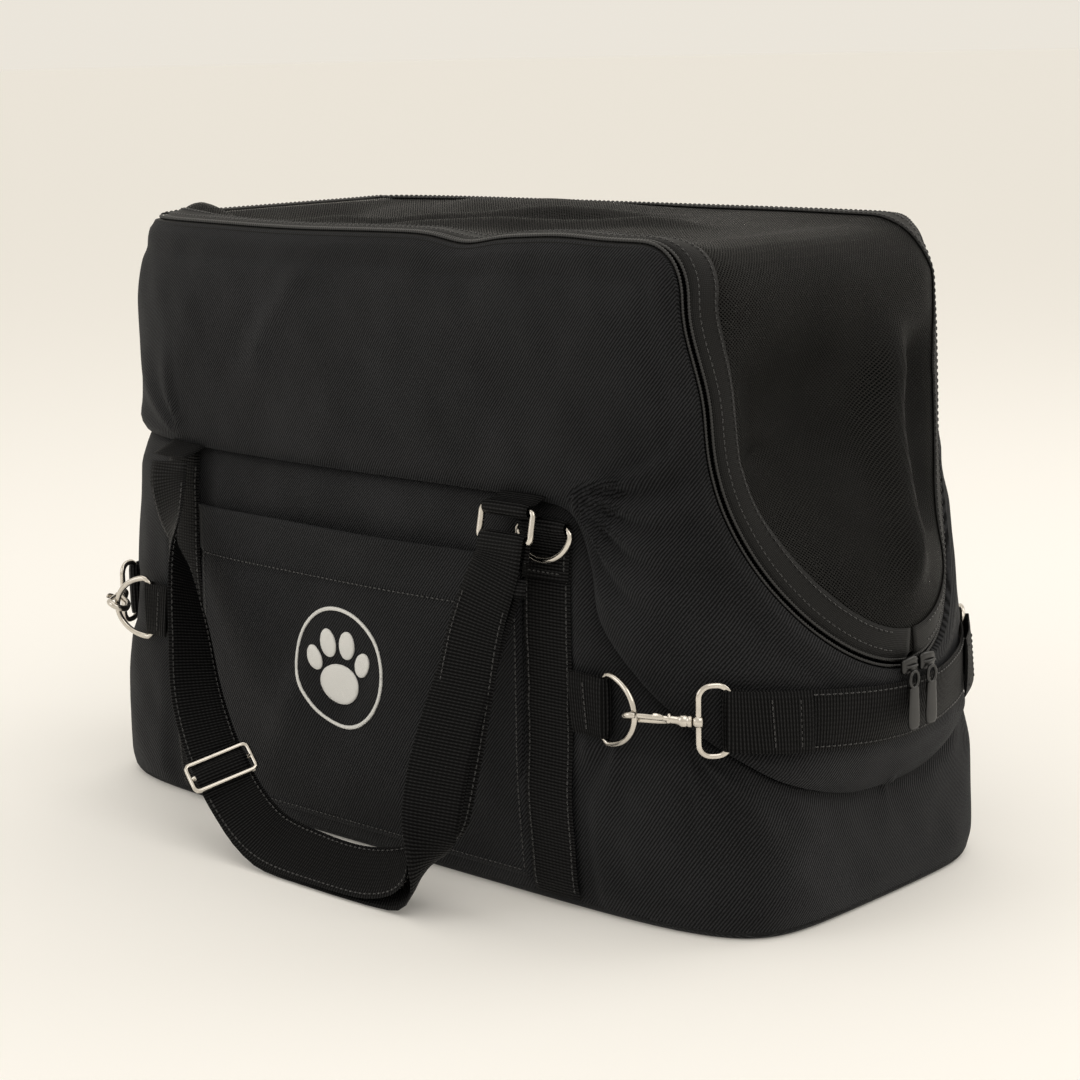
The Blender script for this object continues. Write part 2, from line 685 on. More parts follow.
def loft(name, rows, uv_rows, material, body, ring=True, loop=False, caps=True):
    """Skins a grid of rows. ring joins each row's ends, loop joins the last row to the first."""
    rows = np.asarray(rows, float)
    uv_rows = np.asarray(uv_rows, float)
    count, width = rows.shape[:2]
    faces = []
    for r in range(count if loop else count - 1):
        s = (r + 1) % count
        for c in range(width if ring else width - 1):
            d = (c + 1) % width
            faces.append((r * width + c, s * width + c, s * width + d, r * width + d))
    if ring and caps and not loop:
        faces.append(tuple(range(width)))
        faces.append(tuple((count - 1) * width + c for c in reversed(range(width))))
    obj = mesh_object(name, rows.reshape(-1, 3), faces, uv_rows.reshape(-1, 2), material, body)
    recalculate(obj)
    return obj


def recalculate(obj):
    work = bmesh.new()
    work.from_mesh(obj.data)
    bmesh.ops.recalc_face_normals(work, faces=work.faces)
    work.to_mesh(obj.data)
    work.free()


def joined(name, objects, body):
    """Merges several pieces into one object that rides on a body."""
    points, faces, uvs, indices, materials = [], [], [], [], []
    for obj in objects:
        offset = len(points)
        mesh = obj.data
        points += [obj.matrix_world @ v.co for v in mesh.vertices]
        layer = mesh.uv_layers[0].data
        found = {}
        for polygon in mesh.polygons:
            faces.append([offset + v for v in polygon.vertices])
            for loop, vertex in zip(polygon.loop_indices, polygon.vertices):
                found[vertex] = tuple(layer[loop].uv)
            material = mesh.materials[polygon.material_index]
            if material not in materials:
                materials.append(material)
            indices.append(materials.index(material))
        uvs += [found.get(k, (0, 0)) for k in range(len(mesh.vertices))]
    for obj in objects:
        bpy.data.objects.remove(obj, do_unlink=True)
    made = mesh_object(name, points, faces, uvs, materials[0], body)
    for material in materials[1:]:
        made.data.materials.append(material)
    made.data.polygons.foreach_set("material_index", indices)
    return made


def frames_along(points, hint):
    """Unit tangent, and two directions across, carried along a line without twisting."""
    tangent = unit(np.gradient(points, axis=0))
    side = np.array(hint, float)
    sides = []
    for t in tangent:
        side = side - t * (side @ t)
        side /= np.linalg.norm(side)
        sides.append(side)
    sides = np.array(sides)
    return tangent, sides, np.cross(tangent, sides)


def wire(name, points, radius, material, body, closed=False, sides=14, hint=(0.13, 0.21, 0.97),
         radii=None):
    """A round wire along a line of points."""
    points = np.asarray(points, float)
    if closed:
        points = np.concatenate([points, points[:1]])
    _, one, two = frames_along(points, hint)
    if closed:
        points, one, two = points[:-1], one[:-1], two[:-1]
    radii = np.full(len(points), radius) if radii is None else np.asarray(radii, float)
    angle = circle(sides)
    rows = points[:, None] + spun(one, two, angle) * radii[:, None, None]
    uvs = grid_uvs(angle * radius, travel_of(points))
    return loft(name, rows, uvs, material, body, loop=closed)


def ribbon(name, rows, material, body, steps=4, thick=WEB_THICK, across=9, lift=None):
    """Flat webbing through rows of (left, middle, right) points: rounded edges, slightly crowned."""
    rows = np.asarray(rows, float)
    fine = smooth_line(rows.reshape(len(rows), 9), steps).reshape(-1, 3, 3) if steps > 1 else rows
    middle = fine[:, 1]
    tangent = unit(np.gradient(middle, axis=0))
    side = fine[:, 2] - fine[:, 0]
    width = np.linalg.norm(side, axis=1)
    normal = unit(np.cross(side, tangent))
    u = np.linspace(-1, 1, across)
    half = thick / 2 * (0.25 + 0.75 * (1 - np.abs(u) ** 6))
    weights = np.stack([u * (u - 1) / 2, 1 - u * u, u * (u + 1) / 2], -1)
    flat = np.einsum("uk,nkd->nud", weights, fine)
    if lift is not None:
        flat = flat + lift[:, None, None] * normal[:, None]
    top = flat + normal[:, None] * half[None, :, None]
    low = flat - normal[:, None] * half[None, :, None]
    loop = two_faced(top, low)
    uvs = grid_uvs(there_and_back(u) * WEB_WIDTH / 2, travel_of(middle))
    made = loft(name, loop, uvs, material, body)
    return made, fine, normal, width


def stitches(name, line, normal, body, material=None, pitch=0.0034, length=0.0023, radius=0.00034):
    """A row of single stitches along a line, pressed into the surface."""
    line = np.asarray(line, float)
    travel = travel_of(line)
    starts = np.arange(pitch / 2, travel[-1] - length, pitch)
    normal = np.broadcast_to(np.asarray(normal, float), line.shape)
    sample = lambda at, values: np.stack([np.interp(at, travel, values[:, k]) for k in range(3)], -1)
    a, b = sample(starts, line), sample(starts + length, line)
    up = unit(sample(starts + length / 2, normal))
    across = unit(np.cross(up, b - a))
    middle = (a + b) / 2
    sections = []
    for centre, share in ((a - up * radius * 0.6, 0.35), (middle * 0.5 + a * 0.5, 0.95),
                          (middle * 0.5 + b * 0.5, 0.95), (b - up * radius * 0.6, 0.35)):
        ring = []
        for angle in np.radians((0, 60, 120, 180, 240, 300)):
            ring.append(centre + (across * math.cos(angle) + up * math.sin(angle)) * radius * share)
        sections.append(ring)
    sections = np.array(sections).transpose(2, 0, 1, 3)
    points, faces = sections.reshape(-1, 3), []
    for k in range(len(starts)):
        base = k * 24
        for s in range(3):
            for c in range(6):
                d = (c + 1) % 6
                faces.append((base + s * 6 + c, base + s * 6 + d, base + s * 6 + 6 + d, base + s * 6 + 6 + c))
        faces.append(tuple(base + c for c in reversed(range(6))))
        faces.append(tuple(base + 18 + c for c in range(6)))
    uvs = np.zeros((len(points), 2))
    uvs[:, 0] = np.tile(np.repeat(np.arange(4), 6), len(starts)) * 0.0004
    return mesh_object(name, points, faces, uvs, material or DARK_THREAD, body)


# ---------------------------------------------------------------- padded body

UPPER_ROWS = 44
UPPER_TUCK = 0.0055
LOWER_TUCK = 0.0062
FOOT_ROUND = 0.0045
SPINE_HALF = 0.14
LOWER_ROWS = 56


def level_normal(way, z):
    step = outward(way, z) * [1, 1, 0]
    return step / np.linalg.norm(step, axis=-1, keepdims=True)


def body_uv(way, z):
    return np.stack([np.asarray(way) * PERIMETER, np.asarray(z)], -1)


def make_upper_body():
    """The upper padded panel: outside, rolled top edge and lining, as one closed band."""
    seam, rim = both_sides(SEAM), both_sides(RIM)
    rows, uvs = [], []
    rows.append(skin(seam[:, 0], seam[:, 1]) - UPPER_TUCK * level_normal(seam[:, 0], seam[:, 1]))
    uvs.append(body_uv(*seam.T))
    for t in np.linspace(0, 1, UPPER_ROWS) ** 0.9:
        mix = seam * (1 - t) + rim * t
        rows.append(proud(mix[:, 0], mix[:, 1], upper_relief(mix[:, 0], mix[:, 1])))
        uvs.append(body_uv(mix[:, 0], mix[:, 1]))
    normal = outward(*rim.T)
    edge = skin(*rim.T)
    tangent = np.roll(edge, -1, axis=0) - np.roll(edge, 1, axis=0)
    across = unit(np.cross(normal, tangent))
    top = rows[-1] - normal * 0.0015
    for angle in np.radians((35, 65, 90)):
        bend = math.sin(angle)
        rows.append(top - normal * (0.0015 * bend + 0.0006) + across * 0.0014 * bend * (1 - 0.6 * bend))
        uvs.append(body_uv(rim[:, 0], rim[:, 1] + 0.002 * angle))
    for t in np.linspace(1, 0, 14):
        mix = seam * (1 - t) + rim * t
        wall = WALL + 0.0006 * flow(mix[:, 0] + 0.3, mix[:, 1])
        inner = skin(mix[:, 0], mix[:, 1]) - level_normal(mix[:, 0], mix[:, 1]) * wall[:, None]
        rows.append(inner - across * 0.0006 * (t == 1))
        uvs.append(body_uv(mix[:, 0], mix[:, 1] + 0.5))
    rows = sway(np.array(rows))
    body = loft("upper_body_padding", rows, uvs, TWILL, "bag", loop=True)
    body.data.materials.append(LINING)
    line_from = (UPPER_ROWS + 4) * rows.shape[1]
    for polygon in body.data.polygons:
        if min(polygon.vertices) >= line_from:
            polygon.material_index = 1
    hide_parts("upper_body")


def make_lower_body():
    """The lower padded panel with its base, and the lining inside."""
    seam, base = both_sides(SEAM), both_sides(BASE)
    seam = seam - [0, 0.0006]
    rows, uvs = [], []
    rows.append(skin(seam[:, 0], seam[:, 1]) - LOWER_TUCK * level_normal(seam[:, 0], seam[:, 1]))
    uvs.append(body_uv(*seam.T))
    for t in 1 - np.linspace(0, 1, LOWER_ROWS) ** 0.95 * 0.985:
        mix = base * (1 - t) + seam * t
        z = np.maximum(mix[:, 1], FOOT_ROUND)
        rows.append(proud(mix[:, 0], z, lower_relief(mix[:, 0], z)))
        uvs.append(body_uv(mix[:, 0], z))
    foot = skin(base[:, 0], base[:, 1])
    flat = level_normal(base[:, 0], base[:, 1])
    for angle in np.radians((25, 50, 75, 90)):
        ring = foot - flat * FOOT_ROUND * (1 - math.cos(angle))
        ring[:, 2] = FOOT_ROUND * (1 - math.sin(angle))
        rows.append(ring)
        uvs.append(ring[:, :2])
    spine = np.zeros_like(foot)
    spine[:, 0] = np.clip(foot[:, 0], -SPINE_HALF, SPINE_HALF)
    for share in (0.90, 0.7, 0.4, 0.1):
        ring = spine + (foot - spine) * share
        ring[:, 2] = 0.0
        rows.append(ring)
        uvs.append(ring[:, :2])
    outer_count = len(rows)
    width = rows[0].shape[0]
    inner_rows, inner_uvs = [], []
    for t in np.linspace(1, 0.05, 16):
        mix = base * (1 - t) + seam * t
        z = np.maximum(mix[:, 1], WALL + BASE_ROUND)
        inner_rows.append(skin(mix[:, 0], z) - WALL * level_normal(mix[:, 0], z))
        inner_uvs.append(body_uv(mix[:, 0], z + 0.5))
    floor = skin(base[:, 0], base[:, 1]) - (WALL + BASE_ROUND) * flat
    for share in (1.0, 0.9, 0.5, 0.1):
        ring = spine + (floor - spine) * share
        ring[:, 2] = WALL
        inner_rows.append(ring)
        inner_uvs.append(ring[:, :2] + 1)
    grid = np.array(rows + inner_rows)
    uv_grid = np.array(uvs + inner_uvs)
    faces = []
    for first, last, flip in ((0, outer_count, False), (outer_count, len(grid), True)):
        for r in range(first, last - 1):
            for c in range(width):
                d = (c + 1) % width
                quad = (r * width + c, (r + 1) * width + c, (r + 1) * width + d, r * width + d)
                faces.append(quad[::-1] if flip else quad)
        end = [(last - 1) * width + c for c in range(width)]
        faces.append(end if flip else end[::-1])
    for c in range(width):
        d = (c + 1) % width
        faces.append((c, d, outer_count * width + d, outer_count * width + c))
    body = mesh_object("lower_body_padding", grid.reshape(-1, 3), faces, uv_grid.reshape(-1, 2), TWILL, "bag")
    body.data.materials.append(LINING)
    for polygon in body.data.polygons:
        if max(polygon.vertices) >= outer_count * width:
            polygon.material_index = 1
    recalculate(body)
    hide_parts("lower_body")


# ---------------------------------------------------------------- zip and mesh cover

def zip_frame(rim):
    """Zip edge, outward normal and the direction towards the cover at each point of the zip line."""
    edge = skin(rim[:, 0], rim[:, 1])
    turn = np.clip((RIM_Z - edge[:, 2:]) / FOLD_RADIUS, 0, 1)
    normal = outward(rim[:, 0], rim[:, 1])
    normal[:, 2:] *= turn
    normal = unit(normal)
    tangent = unit(np.gradient(edge, axis=0))
    across = unit(np.cross(normal, tangent))
    inward = unit((1 - turn) * np.array([0.0, 1.0, 0.0]) + turn * across)
    up = unit((1 - turn) * np.array([0.0, 0.0, 1.0]) + turn * normal)
    return edge + across * COIL_GAP - normal * COIL_SINK, inward, up


def rim_from(start_x, spacing=0.0030):
    """The zip line on the near half from one x on the top to the front centre, evenly spaced."""
    points = skin(RIM[:, 0], RIM[:, 1])
    travel = travel_of(points)
    side = (RIM[:, 1] > RIM_Z - 1e-6) & (np.abs(points[:, 1]) > 0.08)
    first = np.interp(start_x, points[side, 0], travel[side])
    positions = np.linspace(first, travel[-1], int((travel[-1] - first) / spacing) + 1)
    return np.stack([np.interp(positions, travel, RIM[:, k]) for k in (0, 1)], -1)


def mirrored(points):
    """Near-half points followed by their mirror image on the far half."""
    return np.concatenate([points, points[-2::-1] * [1, -1, 1]])


def toothed(name, line, body, phase):
    """One half of a coil zip: a row of beads, each a turn of the coil."""
    pitch = 0.0016
    line = resampled(line, pitch / 4)
    tangent, one, two = frames_along(line, (0.0, 0.1, 1.0))
    step = (np.arange(len(line)) + phase) % 4
    radii = np.array([0.00118, 0.00106, 0.00074, 0.00106])[step]
    angle = circle(8)
    slant = tangent[:, None] * (0.0003 * np.sin(angle))[None, :, None]
    rows = line[:, None] + spun(one, two, angle) * radii[:, None, None] + slant
    uvs = grid_uvs(angle * 0.001, travel_of(line))
    return loft(name, rows, uvs, COIL, body)


def strip(name, left, right, up, material, body, crown=0.0, thick=0.0005, across=5):
    """A narrow band of cloth between two lines."""
    share = np.linspace(0, 1, across)
    flat = left[:, None] * (1 - share)[None, :, None] + right[:, None] * share[None, :, None]
    flat = flat + up[:, None] * (crown * 4 * share * (1 - share))[None, :, None]
    loop = two_faced(flat + up[:, None] * thick / 2, flat - up[:, None] * thick / 2)
    width = np.linalg.norm((right - left), axis=1).mean()
    uvs = grid_uvs(there_and_back(share) * width, travel_of((left + right) / 2))
    return loft(name, loop, uvs, material, body)


def cover_height(x, y):
    """How the slack mesh of the top panel stands above (or hangs below) the level of its zip, in metres."""
    rear = smoothstep((0.06 - x) / 0.16)
    inside = smoothstep((0.104 - np.abs(y)) / 0.05)
    sag = -(0.0030 + 0.0050 * rear) * inside
    hump = 0.0110 * bell(x + 0.060, 0.100) * bell(y - 0.066, 0.034)
    ridge_y = -0.075 + (x + 0.12) * 0.62
    ridge = 0.0075 * bell(y - ridge_y, 0.014) * smoothstep((x + 0.15) / 0.05) * (1
                                                                                 - smoothstep((x - 0.02)
                                                                                              / 0.08))
    second = 0.0050 * bell(y + 0.05 - (x + 0.02) * 0.35, 0.010) * smoothstep((x + 0.10) / 0.05)
    second = second * (1 - smoothstep((x - 0.10) / 0.05))
    corner = 0.0135 * bell(x + 0.168, 0.026) * bell(y + 0.080, 0.014)
    corner = corner - 0.0060 * bell(x + 0.135, 0.022) * bell(y + 0.050, 0.016)
    ripple = 0.0010 * np.sin(x * 95 + y * 60) * rear * inside
    taut = 0.0012 * np.sin(x * 60 + 1.0) * (1 - rear) * inside
    held = smoothstep((x - COVER_REAR_X) / 0.035)
    return held * (sag + (hump + ridge + second) * inside ** 0.5 + ripple
                   + taut) + smoothstep((x - COVER_REAR_X) / 0.010) * corner


def flap_depth(y, z):
    """How the mesh of the front flap stands out from (or sinks below) the body's line, in metres."""
    hollow = -0.0190 * bell(z - 0.252, 0.030) * bell(y + 0.030, 0.048)
    hollow = hollow - 0.0070 * bell(z - 0.215, 0.020) * bell(y + 0.060, 0.022)
    line = 0.035 - (0.270 - z) * 0.30
    ridge = 0.0130 * bell(y - line, 0.013) * smoothstep((0.300 - z) / 0.04) * smoothstep((z - 0.150) / 0.04)
    beyond = -0.0100 * bell(y - line - 0.033, 0.016) * smoothstep((0.290 - z)
                                                                  / 0.03) * smoothstep((z - 0.17) / 0.03)
    crease = -0.0040 * bell(z - 0.232 - 0.10 * (y + 0.07), 0.004) * bell(y + 0.065, 0.022)
    low = 0.0045 * bell(z - 0.165, 0.024) * bell(y - 0.020, 0.050)
    return hollow + ridge + beyond + crease + low


MESH_EDGE = 0.0056
BORDER = 0.0150


def cover_grid(inset, across=61):
    """The cover's surface as rows from the near zip to the far zip, rear to front, with its slack."""
    stretch = rim_from(COVER_REAR_X + 0.001, 0.0045)
    centre, inward, _ = zip_frame(stretch)
    rows = []
    for x, y, z in centre + inward * inset:
        if abs(y) < 0.006:
            continue
        turn = np.clip((RIM_Z - z) / FOLD_RADIUS, 0, 1)
        bend = math.sqrt(1 - (1 - turn) ** 2)
        share = np.sin(np.linspace(-math.pi / 2, math.pi / 2, across)) * 0.35 + np.linspace(-1, 1,
                                                                                            across) * 0.65
        ys = -share * y
        level = min(z, RIM_Z - FOLD_RADIUS)
        xs = x + bend * (front_x(ys, level) - front_x(np.array(abs(y)), level))
        zs = np.full(across, z)
        free = smoothstep((1 - np.abs(share)) / 0.30)
        zs = zs + cover_height(x, ys) * (1 - bend) * np.where(np.abs(ys) > 0.07, free, 1)
        xs = xs + flap_depth(ys, z) * bend * free
        rows.append(np.stack([xs, ys, zs], -1))
    return sway(np.array(rows))


def thin_sheet(name, grid, material, thick):
    """A grid of points as a closed thin sheet."""
    count, width = grid.shape[:2]
    normal = unit(np.cross(np.gradient(grid, axis=1), np.gradient(grid, axis=0)))
    normal *= np.sign(normal[count // 3, width // 2, 2] + 1e-9)
    loop = two_faced(grid + normal * thick / 2, grid - normal * thick / 2)
    along = travel_of(grid[:, width // 2])
    across = grid[..., 1]
    half = np.stack([across, np.broadcast_to(along[:, None], across.shape)], -1)
    return loft(name, loop, two_faced(half, half), material, None), normal


def bend_over_front(obj):
    """Joins the two cover bodies smoothly over the front fold."""
    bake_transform(obj)


def settled(points, grid, normal, lift):
    """The points moved onto a surface given as a grid of points with normals, standing off by lift."""
    tree = KDTree(grid.shape[0] * grid.shape[1])
    flat, normals = grid.reshape(-1, 3), normal.reshape(-1, 3)
    for k, point in enumerate(flat):
        tree.insert(point, k)
    tree.balance()
    moved, found = [], []
    for point in np.asarray(points, float).reshape(-1, 3):
        nearest = [k for _, k, _ in tree.find_n(point, 4)]
        n = unit(normals[nearest].mean(axis=0))
        off = np.mean([(point - flat[k]) @ n for k in nearest])
        moved.append(point - n * (off - lift))
        found.append(n)
    shape = np.shape(points)
    return np.array(moved).reshape(shape), np.array(found).reshape(shape)


def make_cover():
    """Mesh cover with its border band, the zip's tape, coils and stitching, and the binding at the rear."""
    grid = cover_grid(MESH_EDGE)
    cover, normal = thin_sheet("cover_mesh", grid, MESH, 0.0009)
    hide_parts("cover_top", "cover_front")
    bend_over_front(cover)

    rim = rim_from(COVER_REAR_X + 0.001, 0.0032)
    centre, inward, up = zip_frame(rim)
    pieces = []
    for side, name in SIDES:
        flip = np.array([1, side, 1])
        share = np.linspace(0, 1, 6)
        rows = [sway((centre + inward * (COIL_PITCH + 0.0006 + BORDER * t)) * flip) for t in share]
        rows = np.array(rows).transpose(1, 0, 2)
        rows[:, :, 1] = np.where(rows[:, :, 1] * -side < 0.0004, -side * 0.0004, rows[:, :, 1])
        inner, normals = settled(rows[:, 1:], grid, normal, 0.0012)
        band = np.concatenate([rows[:, :1] + normals[:, :1] * 0.0004, inner], 1)
        normals = np.concatenate([normals[:, :1], normals], 1)
        half = 0.0004 * np.array([0.5, 1, 1, 1, 1, 0.6])[None, :, None]
        loop = two_faced(band + normals * half, band - normals * half)
        uvs = grid_uvs(there_and_back(share) * BORDER, travel_of(band[:, 2]))
        pieces.append(loft(f"border_{name}", loop, uvs, TAPE, None))
        for column, extra in ((1.4, 0.0009), (4.3, 0.0009)):
            k, t = int(column), column % 1
            line = band[:, k] * (1 - t) + band[:, k + 1] * t + normals[:, k] * extra * 0.75
            line = line[np.abs(line[:, 1]) > 0.012]
            pieces.append(stitches(f"border_stitch_{name}_{k}", line, normals[:len(line), k], None))
    border = joined("cover_border", pieces, None)
    bend_over_front(border)

    coils = []
    for side, name in SIDES:
        flip = np.array([1, side, 1])
        coils.append(toothed(f"cover_coil_{name}", sway((centre + inward * COIL_PITCH) * flip), None,
                             2))
    coil = joined("cover_zip_coil", coils, None)
    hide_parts("zip_coil_top_near", "zip_coil_top_far", "zip_coil_front")
    bend_over_front(coil)

    line = sway(mirrored(centre))
    coil = toothed("body_zip_coil", line, "bag", 0)
    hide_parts("zip_coil_body")
    inner_edge = line + mirrored(inward) * 0.0006 - mirrored(up) * 0.0007
    outer_edge = line - mirrored(inward) * 0.0042 - mirrored(up) * 0.0030
    strip("body_zip_tape", inner_edge, outer_edge, mirrored(up), TAPE, "bag")
    edge = grid[0]
    rear, fore = edge + [-0.0072, 0, 0.0006], edge + [0.0004, 0, 0.0008]
    level = np.tile(UPWARDS, (len(edge), 1))
    binding = strip("cover_binding", rear, fore, level, TAPE, None, crown=0.0007, thick=0.0008, across=9)
    sewn = stitches("binding_stitch", rear + [0.0018, 0, 0.0012], UPWARDS, None)
    hinge = joined("cover_rear_binding", [binding, sewn], None)
    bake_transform(hinge)


def block(name, sections, material, body, count=16):
    """A solid through rounded sections: (centre, half width vector, half height vector, squareness)."""
    rows, uvs = [], []
    angle = circle(count)
    for centre, wide, high, power in sections:
        c = np.sign(np.cos(angle)) * np.abs(np.cos(angle)) ** power
        s = np.sign(np.sin(angle)) * np.abs(np.sin(angle)) ** power
        rows.append(np.asarray(centre) + c[:, None] * np.asarray(wide) + s[:, None] * np.asarray(high))
        uvs.append(np.stack([angle * 0.002, np.full(count, 0.002 * len(uvs))], -1))
    return loft(name, rows, uvs, material, body)


def make_sliders():
    """Two black zip sliders with their hanging pulls."""
    for side in ("near", "far"):
        low, high = (np.array(v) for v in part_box(f"zip_slider_{side}"))
        centre, half = (low + high) / 2, (high - low) / 2
        x_axis, y_axis, z_axis = np.eye(3)
        parts = []
        sections = []
        for t, wide, deep in ((-1, 0.62, 0.6), (-0.85, 0.80, 1.0), (-0.2, 0.92, 1.0), (0.4, 1.0, 1.0),
                              (0.85, 0.9, 1.0), (1, 0.7, 0.6)):
            sections.append((centre + y_axis * half[1] * t * (1 if side == "near" else -1),
                             z_axis * half[2] * wide,
                             x_axis * half[0] * deep, 0.55))
        parts.append(block("slider_body", sections, BLACK_METAL, None))
        bridge = [centre + x_axis * half[0] * a + y_axis * half[1] * b for a, b in (
            (0.6, -0.7), (1.4, -0.55), (1.75, -0.2), (1.75, 0.25), (1.4, 0.6), (0.6, 0.72))]
        parts.append(wire("slider_bridge", smooth_line(bridge, 5), 0.0008, BLACK_METAL, None, sides=10))
        slider = joined(f"slider_{side}", parts, f"zip_slider_{side}")
        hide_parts(f"zip_slider_{side}")

        low, high = (np.array(v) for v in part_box(f"zip_pull_{side}"))
        centre, half = (low + high) / 2, (high - low) / 2
        top, foot = high[2] - 0.0011, low[2] + 0.0011
        loop = []
        for angle in np.radians(np.arange(0, 360, 20)):
            loop.append((centre[0], centre[1] + (half[1] - 0.0010) * math.cos(angle),
                         top - 0.0042 + 0.0042 * math.sin(angle)))
        parts = [wire("pull_ring", loop, 0.0009, BLACK_METAL, None, closed=True, sides=10, hint=(1, 0, 0))]
        sections = []
        for t, wide in ((0.0, 0.55), (0.04, 0.80), (0.3, 0.86), (0.75, 1.0), (0.94, 0.92), (1.0, 0.6)):
            z = (top - 0.0078) * (1 - t) + foot * t
            sections.append(((centre[0], centre[1], z), y_axis * half[1] * wide, x_axis * 0.00085, 0.45))
        parts.append(block("pull_plate", sections, BLACK_METAL, None))
        pull = joined(f"pull_{side}", parts, f"zip_pull_{side}")
        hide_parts(f"zip_pull_{side}")


# ---------------------------------------------------------------- webbing on the body

TACK_PITCH = 0.0030
TACK_LENGTH = 0.0021


def body_relief(way, z):
    """The padding's relief at a point, whichever panel it lies on."""
    folded = np.minimum(np.asarray(way) % 1, 1 - np.asarray(way) % 1)
    seam_z = np.interp(folded, SEAM[:, 0], SEAM[:, 1])
    return np.where(z > seam_z, upper_relief(way, z), lower_relief(way, z))


def on_body(ways, zs, out):
    """Points on the padded surface, standing off by out."""
    ways, zs = np.asarray(ways, float), np.asarray(zs, float)
    relief = np.maximum(body_relief(ways, zs), -0.0008)
    return proud(ways, zs, relief + out)


def band_row(x, z, out):
    """One row across a side band, lifted by out above the highest padding under it."""
    ways, zs = np.array([side_way(x + k, z) for k in WEB_ACROSS]), np.full(3, z)
    normal = outward(ways, zs)
    off = on_body(ways, zs, 0) - proud(ways, zs, 0)
    stand = np.max(np.linalg.norm(off, axis=1) * np.sign((off * normal).sum(1)))
    return proud(ways, zs, out) + normal * max(stand, 0)


def web_row(middle, across):
    """Left, middle and right points of webbing, from its middle and the unit direction across."""
    return [middle + across * k for k in WEB_ACROSS]


def edge_stitches(name, rows, normal, body, inset=0.0022, start=0.002, end=0.002, skip=None):
    """Stitch rows along both edges of a ribbon."""
    made = []
    inwards = unit(rows[:, 2] - rows[:, 0])
    travel = travel_of(rows[:, 1])
    keep = (travel > start) & (travel < travel[-1] - end)
    if skip is not None:
        keep &= skip
    for k, sign in ((0, 1), (2, -1)):
        line = rows[keep, k] + inwards[keep] * inset * sign + normal[keep] * (WEB_THICK / 2 + 0.00015)
        if len(line) > 2:
            made.append(stitches(f"{name}_{k}", line, normal[keep], body))
    return made


def box_stitches(name, corners, normal, cross=False):
    """A stitched rectangle from its four corners, with a cross if asked for."""
    corners = [np.asarray(c, float) for c in corners]
    pairs = list(zip(corners, corners[1:] + corners[:1]))
    if cross:
        pairs += [(corners[0], corners[2]), (corners[1], corners[3])]
    made = []
    for k, (a, b) in enumerate(pairs):
        line = a + (b - a) * np.linspace(0.02, 0.98, 12)[:, None]
        made.append(stitches(f"{name}_{k}", line, np.asarray(normal), None, pitch=TACK_PITCH,
                             length=TACK_LENGTH))
    return made


def oriented(normal, outward_hint):
    """The same normals, turned to the side of the hint."""
    sign = np.sign((normal * outward_hint).sum(axis=-1, keepdims=True))
    return normal * np.where(sign == 0, 1, sign)


def make_bands():
    """The four bands sewn up the sides; the front ones wrap a D-ring at their top."""
    out = SKIN_GAP + WEB_THICK / 2
    loop = RING_OUT - out
    for end, x in BAND_X.items():
        top_z = BAND_TOP_BAR_Z if end == "front" else 0.2060
        rows = [band_row(x, z, out) for z in np.linspace(0.0065, top_z, 24)]
        if end == "front":
            bar = proud(side_way(x, BAND_TOP_BAR_Z), BAND_TOP_BAR_Z, RING_OUT)
            for angle in np.radians((150, 120, 90, 60, 30, 0, -30)):
                step = np.array([0, loop * math.cos(angle), loop * math.sin(angle)]) * [1, -1, 1]
                rows.append(web_row(bar + step, FORWARDS))
            for z in (BAND_TOP_BAR_Z - 0.010, BAND_TOP_BAR_Z - 0.020, BAND_TOP_BAR_Z - 0.027):
                rows.append(band_row(x, z, out + WEB_THICK + 0.0002))
        for side, name in SIDES:
            flip = np.array([1, side, 1])
            band, fine, normal, _ = ribbon("band", np.array(rows) * flip, WEBBING, None)
            normal = oriented(normal, np.array([0, -side, 0.0]))
            count = 23 * 4
            parts = [band] + edge_stitches("band_stitch", fine[:count], normal[:count], None)
            if end == "front":
                low, high = BAND_TOP_BAR_Z - 0.0245, BAND_TOP_BAR_Z - 0.0065
                off = out + 1.5 * WEB_THICK + 0.0004
                corners = [band_row(x, low, off)[0], band_row(x, low, off)[2], band_row(x, high, off)[2],
                           band_row(x, high, off)[0]]
                middle = sum(corners) / 4
                corners = [(c + (middle - c) * 0.16) * flip for c in corners]
                parts += box_stitches("band_box", corners, np.array([0, -side, 0.0]))
            webbing = joined(f"side_band_{end}_{name}_web", parts, "bag")
            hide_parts(f"side_band_{end}_{name}")


BELT_WAYS = np.linspace(0, 0.5, 2001)


def belt_way(start_x, distance):
    """Way round the near half at belt height, some distance on from a point on the side."""
    points = skin(BELT_WAYS, np.full(BELT_WAYS.shape, BELT_Z))
    travel = travel_of(points)
    start = np.interp(side_way(start_x, BELT_Z), BELT_WAYS, travel)
    return float(np.interp(start + distance, travel, BELT_WAYS))


def plan_frame(way):
    """Outward and forward unit directions in plan at belt height."""
    n = unit(outward(way, BELT_Z) * [1, 1, 0])
    return n, np.array([-n[1], n[0], 0])


def bar_place(way):
    """Where a ring's upright bar stands so that webbing fits between it and the skin at every height."""
    n, forward = plan_frame(way)
    zs = BELT_Z + WEB_ACROSS
    reach = (skin(np.full(3, way), zs) @ n).max() - skin(way, BELT_Z) @ n
    return skin(way, BELT_Z) + n * (RING_OUT + reach), n, forward, reach


def belt_column(way, out):
    """The belt's foot, middle and top at one place on the padding, standing off by out."""
    zs = belt_height(way) + WEB_ACROSS
    ways = np.full(3, way)
    relief = max(0.0, float(body_relief(ways, zs).max()))
    return proud(ways, zs, np.full(3, out + relief))


